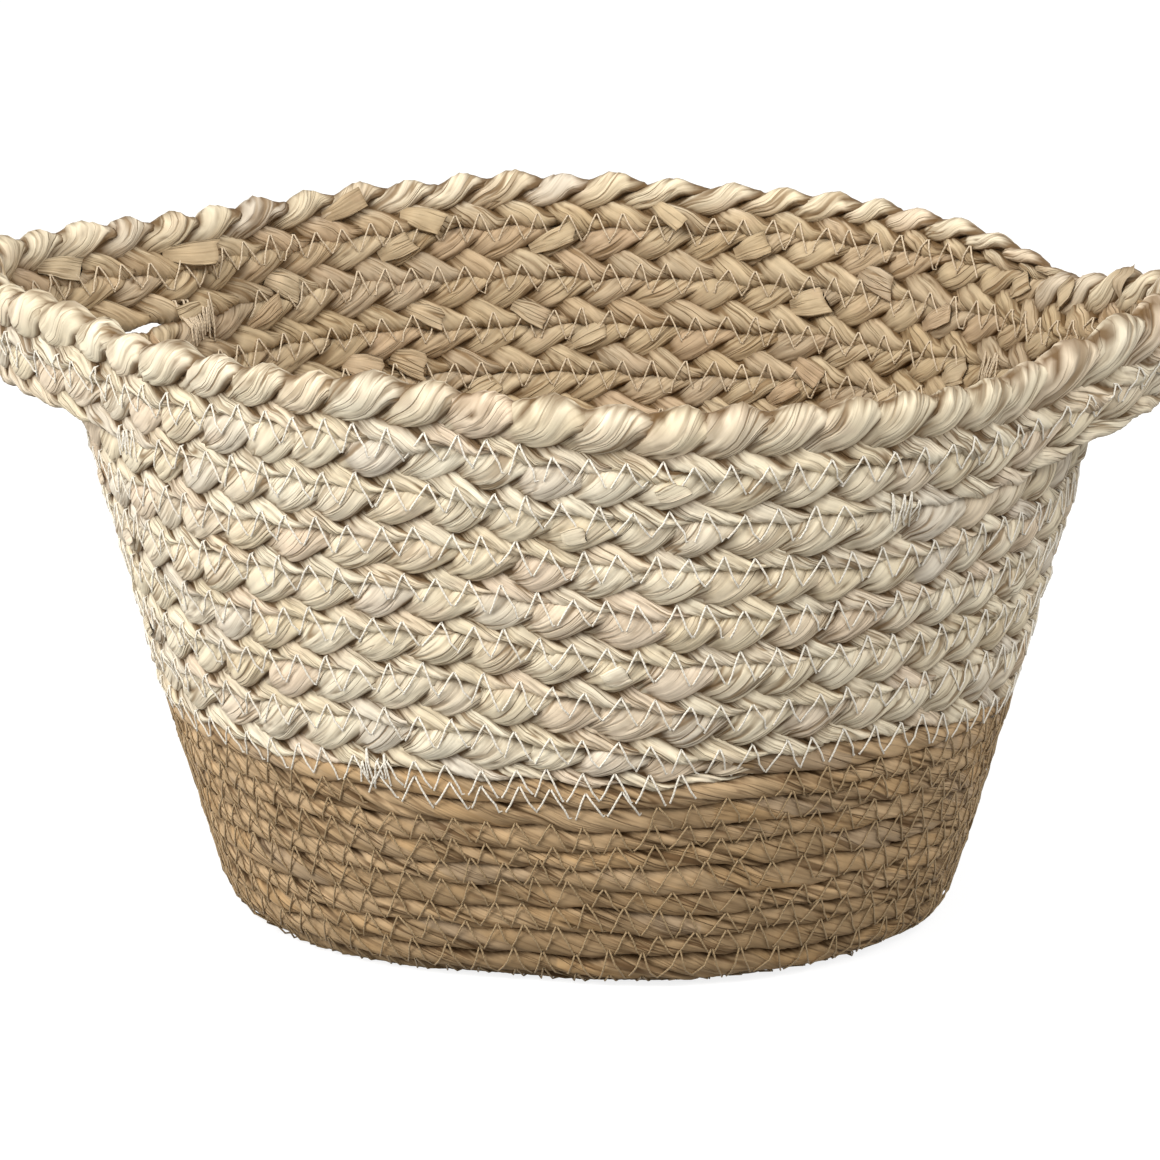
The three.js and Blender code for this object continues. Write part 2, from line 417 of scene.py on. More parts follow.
class Route:
    """The line that a wound cord follows, tabulated by the length of cord laid along it."""

    spacing = 0.02

    def __init__(
        self,
        first: float,
        last: float,
        slant_at: Callable[[np.ndarray], np.ndarray],
        width_at: Callable[[np.ndarray], np.ndarray],
    ) -> None:
        """Tabulate the route from one station to another.

        Args:
            first: Station where the cord starts.
            last: Station where it ends.
            slant_at: Slant of the cord's middle at a station.
            width_at: Width of the cord at a station.
        """
        count = int((last - first) / self.spacing) + 1
        self.steps = np.linspace(first, last, count)
        self.slants = slant_at(self.steps)
        self.widths = width_at(self.steps)
        bowed = (self.steps >= WALL.bowed_from).astype(float)
        frames = WALL.frames(self.steps, self.slants, bowed)
        pieces = np.linalg.norm(np.diff(frames.middle, axis=0), axis=1)
        self.arcs = np.concatenate([[0], np.cumsum(pieces)])
        self.table = np.concatenate(frames, axis=1)
        self.length = float(self.arcs[-1])

    def arc(self, step: np.ndarray) -> np.ndarray:
        """Length of cord laid before a station."""
        return np.interp(step, self.steps, self.arcs)

    def step(self, arc: np.ndarray) -> np.ndarray:
        """Station that a length of cord reaches."""
        return np.interp(arc, self.arcs, self.steps)

    def width(self, arc: np.ndarray) -> np.ndarray:
        """Width of the cord at a length along it."""
        return np.interp(arc, self.arcs, self.widths)

    def rings(self, spacing: float) -> np.ndarray:
        """Even lengths along the whole cord, about a spacing apart."""
        return np.linspace(0, self.length, int(self.length / spacing) + 2)

    def bend(self, along: np.ndarray, up: np.ndarray, out: np.ndarray) -> np.ndarray:
        """Lay straight cord on the route.

        Formula in words: the frame at the length along is read from the table, and the point is its
        middle plus up times upward plus out times outward. Nothing reaches below the ground.

        Args:
            along: Length along the cord.
            up: Distance up the row from its middle.
            out: Distance out of the wall from its middle.

        Returns:
            Points of shape (..., 3).
        """
        flat = along.ravel()
        read = np.stack([np.interp(flat, self.arcs, column) for column in self.table.T], -1)
        read = read.reshape(*along.shape, 9)
        points = read[..., :3] + out[..., None] * read[..., 3:6] + up[..., None] * read[..., 6:9]
        points[..., 2] = np.maximum(points[..., 2], 0)
        return points


class Relief:
    """Height map of a wound cord's two faces over its length and width, for what lies on them."""

    cell_along = 0.9
    cell_up = 0.75
    half_height = 10.8
    spare_rows = 8

    def __init__(self, length: float) -> None:
        """Start with no height anywhere.

        Args:
            length: Length of the cord.
        """
        self.rows = int(length / self.cell_along) + self.spare_rows
        self.columns = int(2 * self.half_height / self.cell_up) + 1
        self.heights = {face: np.full(self.rows * self.columns, -1.0) for face in Face}
        self.blurred: dict[Face, np.ndarray] = {}

    def add(self, along: np.ndarray, up: np.ndarray, out: np.ndarray) -> None:
        """Raise the map to the surface points of a strand.

        Args:
            along: Lengths along the row.
            up: Distances up the row from its middle.
            out: Distances out of the wall.
        """
        row = np.clip((along / self.cell_along).round().astype(int), 0, self.rows - 1)
        column = ((up + self.half_height) / self.cell_up).round().astype(int)
        column = np.clip(column, 0, self.columns - 1)
        cells = (row * self.columns + column).ravel()
        for face in Face:
            np.maximum.at(self.heights[face], cells, (out * face.value).ravel())

    def settle(self) -> None:
        """Soften both maps over neighbouring cells, so that a taut thread bridges small dips."""
        for face, heights in self.heights.items():
            grid = heights.reshape(self.rows, self.columns)
            for axis in (0, 1):
                grid = np.maximum.reduce([np.roll(grid, shift, axis) for shift in (-1, 0, 1)])
            for axis, reach in ((0, 2), (1, 1)):
                shifts = range(-reach, reach + 1)
                grid = sum(np.roll(grid, shift, axis) for shift in shifts) / len(shifts)
            self.blurred[face] = grid

    def read(self, along: np.ndarray, up: np.ndarray, face: Face) -> np.ndarray:
        """Height of a face above the cord's middle surface.

        Formula in words: the four cells round the place are mixed by their shares.

        Args:
            along: Lengths along the row.
            up: Distances up the row from its middle.
            face: Which face to read.

        Returns:
            The heights.
        """
        row = np.clip(along / self.cell_along, 0, self.rows - 2)
        column = np.clip((up + self.half_height) / self.cell_up, 0, self.columns - 2)
        i = row.astype(int)
        j = column.astype(int)
        a = row - i
        b = column - j
        grid = self.blurred[face]
        low = grid[i, j] * (1 - b) + grid[i, j + 1] * b
        high = grid[i + 1, j] * (1 - b) + grid[i + 1, j + 1] * b
        return low * (1 - a) + high * a

    def buried(self, along: np.ndarray, up: np.ndarray, out: np.ndarray) -> np.ndarray:
        """How deep points lie under the softened map of the face that they are on.

        Args:
            along: Lengths along the row.
            up: Distances up the row from its middle.
            out: Distances out of the wall.

        Returns:
            The depths.
        """
        outer = self.read(along, up, Face.OUTSIDE) - out
        inner = self.read(along, up, Face.INSIDE) + out
        return np.where(out >= 0, outer, inner)


def husk_values(*values: np.ndarray | float) -> np.ndarray:
    """Tint, hue, crease_shade (painted shade) and inside share put together as the last direction of one
    array.
    """
    return np.stack(np.broadcast_arrays(*values), -1)


class Laid(NamedTuple):
    """A strand laid along its straight row: places along, up and out, and its husk values."""

    along: np.ndarray
    up: np.ndarray
    out: np.ndarray
    husk: np.ndarray

    def shaded(
        self,
        relief: Relief,
        shallow: float,
        deep: float,
        bare: float | np.ndarray = 0.0,
    ) -> np.ndarray:
        """Raise the crease_shade value, which is painted shade, where the strand lies buried among its
        neighbours.

        Args:
            relief: Height map that tells how deep it lies.
            shallow: Depth in millimetres where the painted shade begins.
            deep: Depth where it is full.
            bare: Share of this shade that is left off, at an edge with no neighbour.

        Returns:
            The husk values.
        """
        # Painted shade: the deeper under the neighbouring surface, the darker.
        buried = ease(relief.buried(self.along, self.up, self.out), shallow, deep) * (1 - bare)
        husk = self.husk.copy()
        husk[..., 2] = np.clip(husk[..., 2] + buried, 0, 1)
        return husk


class Skin(NamedTuple):
    """A tube's grid: points (rings, sides, 3), husk values (rings, sides, 4) and metres along."""

    points: np.ndarray
    husk: np.ndarray
    along: np.ndarray
    around: float

    def normals(self) -> np.ndarray:
        """Outward directions at the points.

        Formula in words: the cross product of the grid's two directions, turned to point out.

        Returns:
            Unit directions of shape (rings, sides, 3).
        """
        ringwise = np.gradient(self.points, axis=0)
        sidewise = np.roll(self.points, -1, axis=1) - np.roll(self.points, 1, axis=1)
        normals = np.cross(sidewise, ringwise)
        outward = self.points - self.points.mean(axis=1, keepdims=True)
        if np.sum(normals * outward) < 0:
            normals = -normals
        return normals / (np.linalg.norm(normals, axis=2, keepdims=True) + 1e-9)


class Stretch(NamedTuple):
    """Some rings of a tube, with the normals that they have in the whole tube."""

    skin: Skin
    normals: np.ndarray


def whole(skin: Skin) -> Stretch:
    """All of a tube."""
    return Stretch(skin, skin.normals())


def cut(tube: Stretch, first: int, last: int) -> Stretch:
    """Some rings of a tube.

    Args:
        tube: The whole tube.
        first: First ring.
        last: Last ring, which is included.

    Returns:
        The rings, with the normals that they have in the whole tube.
    """
    rings = slice(first, last + 1)
    skin = tube.skin
    return Stretch(
        Skin(skin.points[rings], skin.husk[rings], skin.along[rings], skin.around),
        tube.normals[rings],
    )


def signed_volume(points: np.ndarray, quads: np.ndarray) -> float:
    """Volume inside a closed set of quads, by the divergence rule.

    Args:
        points: Corner points.
        quads: Four point numbers for each quad.

    Returns:
        The volume, which is positive where the quads face outwards.
    """
    centred = points - points.mean(axis=0)
    a, b, c, d = (centred[quads[:, k]] for k in range(4))
    return float(np.sum(a * (np.cross(b, c) + np.cross(c, d))) / 6)


class Faces(NamedTuple):
    """Faces of a tube: point numbers corner by corner, corners a face, and fibre map places."""

    corners: np.ndarray
    counts: np.ndarray
    places: np.ndarray


def tube_faces(skin: Skin) -> Faces:
    """Faces of a tube, pointing outwards.

    Formula in words: each cell of the grid is a quad, the last side joins the first, and each end
    ring is one flat face. The fibre map holds metres along and round the tube.

    Args:
        skin: The tube.

    Returns:
        Its faces.
    """
    rings, sides = skin.points.shape[:2]
    i, j = np.meshgrid(np.arange(rings - 1), np.arange(sides), indexing="ij")
    i, j = i.ravel(), j.ravel()
    k = (j + 1) % sides
    quads = np.stack([i * sides + j, i * sides + k, (i + 1) * sides + k, (i + 1) * sides + j], 1)
    turns = np.stack([j, j + 1, j + 1, j], 1) / sides * skin.around
    lengths = skin.along[np.stack([i, i, i + 1, i + 1], 1)]
    first, last = np.arange(sides)[::-1], (rings - 1) * sides + np.arange(sides)
    if signed_volume(skin.points.reshape(-1, 3), quads) < 0:
        quads, turns, lengths = quads[:, ::-1], turns[:, ::-1], lengths[:, ::-1]
        first, last = first[::-1], last[::-1]
    places = np.stack([lengths.ravel(), turns.ravel()], 1)
    return Faces(
        np.concatenate([quads.ravel(), first, last]),
        np.concatenate([np.full(len(quads), 4), [sides, sides]]),
        np.concatenate([places, np.zeros((2 * sides, 2))]),
    )


def build_piece(name: str, tubes: list[Stretch], finish: Finish) -> bpy.types.Object:
    """Put tubes with closed ends into one mesh object at the origin.

    Args:
        name: The piece's name.
        tubes: Its tubes.
        finish: What it is made of.

    Returns:
        The piece, riding on the basket's one body.
    """
    faces = [tube_faces(skin) for skin, _ in tubes]
    points = [skin.points.reshape(-1, 3) * MM for skin, _ in tubes]
    bases = np.cumsum([0] + [len(part) for part in points])
    corners = np.concatenate([part.corners + base for part, base in zip(faces, bases)])
    counts = np.concatenate([part.counts for part in faces])
    places = np.concatenate([part.places for part in faces])
    husk = np.concatenate([skin.husk.reshape(-1, 4) for skin, _ in tubes])
    normals = np.concatenate([directions.reshape(-1, 3) for _, directions in tubes])
    mesh = bpy.data.meshes.new(name)
    mesh.vertices.add(int(bases[-1]))
    mesh.vertices.foreach_set("co", np.concatenate(points).astype(np.float32).ravel())
    mesh.loops.add(len(corners))
    mesh.loops.foreach_set("vertex_index", corners.astype(np.int32))
    mesh.polygons.add(len(counts))
    mesh.polygons.foreach_set("loop_start", (np.cumsum(counts) - counts).astype(np.int32))
    mesh.polygons.foreach_set("use_smooth", np.ones(len(counts), bool))
    mesh.update(calc_edges=True)
    layer = mesh.uv_layers.new(name="fibre")
    layer.data.foreach_set("uv", places.astype(np.float32).ravel())
    values = mesh.attributes.new("husk", "FLOAT_COLOR", "POINT")
    values.data.foreach_set("color", husk.astype(np.float32).ravel())
    mesh.normals_split_custom_set_from_vertices(normals)
    mesh.materials.append(finish.material)
    piece = bpy.data.objects.new(name, mesh)
    bpy.context.scene.collection.objects.link(piece)
    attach(piece, "root")
    LOG.info("%s: %d triangles", name, int(np.sum(counts - 2)))
    return piece


def build_stretches(
    route: Route,
    arc: np.ndarray,
    tubes: list[Stretch],
    names: Names,
    finish: Finish,
) -> list[bpy.types.Object]:
    """Cut a long cord into pieces.

    Args:
        route: The line that the cord follows.
        arc: Lengths along it of the cord's rings.
        tubes: The whole cord's tubes.
        names: First and last station of each named piece.
        finish: What it is made of.

    Returns:
        The pieces.
    """
    made = []
    for name, ends in names.items():
        first, last = (int(np.argmin(np.abs(arc - route.arc(end)))) for end in ends)
        made.append(build_piece(name, [cut(tube, first, last) for tube in tubes], finish))
    return made


class NodeBook:
    """Short ways to add and join shader nodes in one tree."""

    def __init__(self, tree: bpy.types.NodeTree) -> None:
        """Work in this tree."""
        self.tree = tree

    def add(self, kind: str, **settings: object) -> bpy.types.Node:
        """Add a node.

        Args:
            kind: Its type name.
            settings: Properties to set on it.

        Returns:
            The node.
        """
        node = self.tree.nodes.new(kind)
        for name, value in settings.items():
            setattr(node, name, value)
        return node

    def feed(self, socket: bpy.types.NodeSocket, source: Value) -> None:
        """Give a socket another socket's output, or a plain value.

        Args:
            socket: The socket that takes it.
            source: An output, a number, or a colour without its fourth value.
        """
        if isinstance(source, bpy.types.NodeSocket):
            self.tree.links.new(source, socket)
        elif isinstance(source, tuple) and len(source) == 3 and len(socket.default_value) == 4:
            socket.default_value = (*source, 1)
        else:
            socket.default_value = source

    def math(self, operation: str, first: Value, second: Value = 0.0, clamp: bool = False) -> Value:
        """Add a math node.

        Args:
            operation: What it works out.
            first: First value.
            second: Second value.
            clamp: Whether the result is kept from 0 to 1.

        Returns:
            Its output.
        """
        node = self.add("ShaderNodeMath", operation=operation, use_clamp=clamp)
        self.feed(node.inputs[0], first)
        self.feed(node.inputs[1], second)
        return node.outputs[0]

    def mix(self, share: Value, first: Value, second: Value, blend: str = "MIX") -> Value:
        """Add a colour mix.

        Args:
            share: How much of the second is taken.
            first: First colour.
            second: Second colour.
            blend: How the second is laid on the first.

        Returns:
            Its output.
        """
        node = self.add("ShaderNodeMix", data_type="RGBA", blend_type=blend)
        self.feed(node.inputs[0], share)
        self.feed(node.inputs[6], first)
        self.feed(node.inputs[7], second)
        return node.outputs[2]

    def span(self, value: Value, low: float, high: float, bottom: float = 0, top: float = 1) -> Value:
        """Take a value smoothly from one range to another.

        Args:
            value: The value.
            low: Where its range starts.
            high: Where its range ends.
            bottom: What it becomes at low.
            top: What it becomes at high.

        Returns:
            The new value.
        """
        node = self.add("ShaderNodeMapRange", interpolation_type="SMOOTHSTEP")
        self.feed(node.inputs[0], value)
        for index, number in enumerate((low, high, bottom, top), 1):
            node.inputs[index].default_value = number
        return node.outputs[0]

    def noise(self, vector: Value, scale: Colour, detail: float = 2, distortion: float = 0) -> Value:
        """Add a noise whose three directions are scaled on their own.

        Args:
            vector: Where it is read.
            scale: Waves per metre in each direction.
            detail: How many finer noises are added to it.
            distortion: How far it is warped by itself.

        Returns:
            Its value, about 0.5 in the middle.
        """
        mapping = self.add("ShaderNodeMapping", vector_type="POINT")
        self.feed(mapping.inputs["Vector"], vector)
        mapping.inputs["Scale"].default_value = scale
        node = self.add("ShaderNodeTexNoise", noise_dimensions="3D")
        self.feed(node.inputs["Vector"], mapping.outputs[0])
        node.inputs["Scale"].default_value = 1
        node.inputs["Detail"].default_value = detail
        node.inputs["Distortion"].default_value = distortion
        return node.outputs[0]

    def bump(self, shader: bpy.types.Node, height: Value, strength: float, distance: float) -> None:
        """Raise a shader's surface by a height.

        Args:
            shader: The shader.
            height: The height, from 0 to 1.
            strength: Share of the effect.
            distance: Metres that a height of 1 stands for.
        """
        node = self.add("ShaderNodeBump")
        node.inputs["Strength"].default_value = strength
        node.inputs["Distance"].default_value = distance
        self.feed(node.inputs["Height"], height)
        self.feed(shader.inputs["Normal"], node.outputs[0])


def open_group(name: str, outputs: tuple[str, ...]) -> tuple[NodeBook, Value, bpy.types.Node]:
    """Start a shader node group whose input is Place.

    Args:
        name: The group's name.
        outputs: Names of the values that it puts out.

    Returns:
        Its node book, the Place, and the node that takes its outputs.
    """
    tree = bpy.data.node_groups.new(name, "ShaderNodeTree")
    tree.interface.new_socket("Place", in_out="INPUT", socket_type="NodeSocketVector")
    for output in outputs:
        tree.interface.new_socket(output, in_out="OUTPUT", socket_type="NodeSocketFloat")
    book = NodeBook(tree)
    return book, book.add("NodeGroupInput").outputs["Place"], book.add("NodeGroupOutput")


def open_material(name: str) -> tuple[bpy.types.Material, NodeBook, bpy.types.Node]:
    """Start a material.

    Args:
        name: Its name.

    Returns:
        The material, its node book and its shader.
    """
    made = bpy.data.materials.new(name)
    made.use_nodes = True
    return made, NodeBook(made.node_tree), made.node_tree.nodes["Principled BSDF"]


def fibre_group() -> bpy.types.NodeTree:
    """Long fibres and sharp creases of a husk leaf, from the place along and around a strand.

    Formula in words: noises are stretched along the strand. Where a coarse one crosses its middle
    value there is a thin line of creasing, which a second noise lets come and go, and the fine ones are
    fibres. The creases are grooves in the bump, and the material paints shade along them.

    Returns:
        The shader node group with input Place and outputs Height, Crease, Streak and Fleck.
    """
    book, place, outlet = open_group("husk_fibre", ("Height", "Crease", "Streak", "Fleck"))

    def crossing(scale: Colour, width: float, masked: Pair) -> Value:
        """Thin lines where a noise crosses its middle value.

        Args:
            scale: Waves per metre of the noise.
            width: How far from the middle value a line reaches.
            masked: Values of a slower noise between which the lines come in.

        Returns:
            The lines, from 0 to 1.
        """
        wave = book.noise(place, scale, 1, 0.4)
        away = book.math("ABSOLUTE", book.math("SUBTRACT", wave, 0.5))
        gate = book.noise(place, (scale[0] * 1.3 + 9, scale[1] * 0.4, 1.0), 1)
        return book.math("MULTIPLY", book.span(away, width, 0), book.span(gate, *masked))

    fold_shade = crossing((26.0, 460.0, 1.0), 0.045, (0.42, 0.56))
    lines = crossing((44.0, 950.0, 1.0), 0.06, (0.4, 0.6))
    crease_shade = book.math("MAXIMUM", fold_shade, book.math("MULTIPLY", lines, 0.6))
    veins = book.noise(place, (45.0, 900.0, 1.0), 2, 0.3)
    fibres = book.noise(place, (70.0, 2600.0, 1.0), 2, 0.2)
    flecks = book.noise(place, (160.0, 420.0, 1.0), 3)
    soft = book.math("ADD", book.math("MULTIPLY", veins, 0.5), book.math("MULTIPLY", fibres, 0.3))
    height = book.math("SUBTRACT", soft, book.math("MULTIPLY", crease_shade, 0.8))
    mixed = book.math("ADD", book.math("MULTIPLY", veins, 0.45), book.math("MULTIPLY", fibres, 0.55))
    book.feed(outlet.inputs["Height"], height)
    book.feed(outlet.inputs["Crease"], crease_shade)
    book.feed(outlet.inputs["Streak"], book.span(mixed, 0.52, 0.36))
    book.feed(outlet.inputs["Fleck"], flecks)
    return book.tree


def stain_group() -> bpy.types.NodeTree:
    """Slow patches of stain over many rows, from the place on the basket.

    Returns:
        The shader node group with input Place and outputs Patch and Bloom, from 0 to 1.
    """
    book, place, outlet = open_group("husk_stain", ("Patch", "Bloom"))
    patch = book.noise(place, (22.0, 22.0, 34.0), 3)
    bloom = book.noise(place, (70.0, 70.0, 110.0), 3)
    book.feed(outlet.inputs["Patch"], book.span(patch, 0.35, 0.7))
    book.feed(outlet.inputs["Bloom"], book.span(bloom, 0.5, 0.72))
    return book.tree


@dataclass(frozen=True)
class HuskFinish:
    """Dried corn husk. A leaf goes from pale to deep, some are warm or ashen, and painted shade in
    creases, grooves and under neighbours is dark brown.
    """

    name: str
    pale: Colour
    deep: Colour
    warm: Colour
    ashen: Colour
    # Multiplied on the inner face: partly the inner side's browner husk, partly painted shade.
    inner: Colour
    # Colour of the painted shade that the crease_shade value lays in grooves, creases, at edges and under
    # neighbours.
    fold: Colour
    # Colour of the fibre streaks, and of the painted shade along fine creases.
    streak: Colour
    grain: Colour = (1.0, 1.0, 1.0)
    roughness: float = 0.6
    painted_shade_share: float = 0.95
    streak_share: float = 0.3
    crease_share: float = 0.85
    relief: float = 0.00035
    gloss: float = 0.15
    patch_share: float = 0.3
    bloom_share: float = 0.35
    inner_share: float = 0.9
    odd_share: float = 0.6
    warm_hues: Pair = (0.72, 1.0)
    ashen_hues: Pair = (0.26, 0.0)

    def leaf_colour(self, book: NodeBook, tint: Value, hue: Value, stain: bpy.types.NodeTree) -> Value:
        """Colour of a leaf without its fibres and folds.

        Args:
            book: The material's node book.
            tint: How deep the leaf's own colour is, from 0 to 1.
            hue: Value that makes the leaf warm near 1 and ashen near 0.
            stain: The stain node group.

        Returns:
            The colour.
        """
        worn = book.add("ShaderNodeGroup", node_tree=stain)
        book.feed(worn.inputs["Place"], book.add("ShaderNodeTexCoord").outputs["Object"])
        own_depth = book.math("MULTIPLY", tint, 1 - self.patch_share)
        patches = book.math("MULTIPLY", worn.outputs["Patch"], self.patch_share)
        bloom = book.math("MULTIPLY", worn.outputs["Bloom"], self.bloom_share)
        colour = book.mix(book.math("ADD", own_depth, patches), self.pale, self.deep)
        colour = book.mix(book.span(hue, *self.warm_hues, 0, self.odd_share), colour, self.warm)
        colour = book.mix(book.span(hue, *self.ashen_hues, 0, self.odd_share), colour, self.ashen)
        return book.mix(bloom, colour, self.warm)

    def material(self, fibre: bpy.types.NodeTree, stain: bpy.types.NodeTree) -> bpy.types.Material:
        """Build the material from the piece's husk values and its own fibre map.

        Args:
            fibre: The fibre node group.
            stain: The stain node group.

        Returns:
            The material.
        """
        made, book, shader = open_material(self.name)
        leaf = book.add("ShaderNodeAttribute", attribute_type="GEOMETRY", attribute_name="husk")
        parts = book.add("ShaderNodeSeparateColor")
        book.feed(parts.inputs[0], leaf.outputs["Color"])
        tint, hue, crease_shade = (parts.outputs[k] for k in range(3))
        grain = book.add("ShaderNodeGroup", node_tree=fibre)
        spread = book.add("ShaderNodeVectorMath", operation="MULTIPLY")
        book.feed(spread.inputs[0], book.add("ShaderNodeUVMap", uv_map="fibre").outputs[0])
        spread.inputs[1].default_value = self.grain
        book.feed(grain.inputs["Place"], spread.outputs[0])
        colour = self.leaf_colour(book, tint, hue, stain)
        # Inner face: darker by the inner colour, partly its browner husk and partly painted shade.
        shaded = book.math("MULTIPLY", leaf.outputs["Alpha"], self.inner_share)
        colour = book.mix(shaded, colour, self.inner, "MULTIPLY")
        light = book.span(grain.outputs["Fleck"], 0.3, 0.75, 0.88, 1.08)
        colour = book.mix(1.0, colour, light, "MULTIPLY")
        # Fibre streaks are the husk's own grain; the sharp lines along creases are painted shade.
        soft_lines = book.math("MULTIPLY", grain.outputs["Streak"], self.streak_share)
        sharp_lines = book.math("MULTIPLY", grain.outputs["Crease"], self.crease_share)
        colour = book.mix(book.math("MAXIMUM", soft_lines, sharp_lines), colour, self.streak)
        # Painted shade: the crease_shade value from the mesh darkens the colour towards the fold colour.
        painted_shade = book.math("MULTIPLY", crease_shade, self.painted_shade_share, clamp=True)
        colour = book.mix(painted_shade, colour, self.fold)
        book.feed(shader.inputs["Base Color"], colour)
        rough = book.span(grain.outputs["Height"], 0.3, 0.7, self.roughness + 0.12, self.roughness - 0.06)
        book.feed(shader.inputs["Roughness"], rough)
        shader.inputs["Specular IOR Level"].default_value = self.gloss
        book.bump(shader, grain.outputs["Height"], 1.0, self.relief)
        return made


@dataclass(frozen=True)
class ThreadFinish:
    """Spun sewing thread with its twist showing as fine slanting ridges, darkened on the inside face as
    painted shade.

    The two rates are how fast the ridges' wave turns for each metre along and round the thread.
    """

    name: str
    light: Colour
    dark: Colour
    # Painted shade: thread on the inside face is multiplied by this darker colour.
    inner: Colour = (0.72, 0.62, 0.5)
    rate_along: float = 5600.0
    rate_around: float = 2857.0
    roughness: float = 0.55
    gloss: float = 0.4
    relief: float = 0.00008

    def material(self) -> bpy.types.Material:
        """Build the material from the thread's own fibre map.

        Returns:
            The material.
        """
        made, book, shader = open_material(self.name)
        place = book.add("ShaderNodeUVMap", uv_map="fibre").outputs[0]
        inside = book.add("ShaderNodeAttribute", attribute_type="GEOMETRY", attribute_name="husk")
        parts = book.add("ShaderNodeSeparateXYZ")
        book.feed(parts.inputs[0], place)
        wound = book.math("MULTIPLY", parts.outputs[0], self.rate_along)
        round_it = book.math("MULTIPLY", parts.outputs[1], self.rate_around)
        ply = book.math("SINE", book.math("ADD", wound, round_it))
        wear = book.noise(place, (30.0, 90.0, 1.0), 2)
        share = book.math("ADD", book.math("MULTIPLY", ply, 0.18), wear, clamp=True)
        colour = book.mix(share, self.dark, self.light)
        # Painted shade on thread that lies on the inside face.
        colour = book.mix(inside.outputs["Alpha"], colour, self.inner, "MULTIPLY")
        book.feed(shader.inputs["Base Color"], colour)
        shader.inputs["Roughness"].default_value = self.roughness
        shader.inputs["Specular IOR Level"].default_value = self.gloss
        book.bump(shader, ply, 0.5, self.relief)
        return made


class Pace(NamedTuple):
    """Where a strand is in its round at each ring, as columns of one value a ring."""

    place: np.ndarray
    phase: np.ndarray
    lobe: np.ndarray
    leaf: np.ndarray
    scale: np.ndarray
    rimmed: np.ndarray
    half_row: np.ndarray
    core: np.ndarray
    seed: int


class Strip(NamedTuple):
    """A strand's own flat section: share across, distances across and off its middle, and painted shade
    in its pleat valleys.
    """

    across: np.ndarray
    side: np.ndarray
    rise: np.ndarray
    fold_shade: np.ndarray


class Lap(NamedTuple):
    """A strip laid round one edge of the core: its places, its run round the edge, and its dive."""

    along: np.ndarray
    up: np.ndarray
    out: np.ndarray
    run: np.ndarray
    dive: np.ndarray


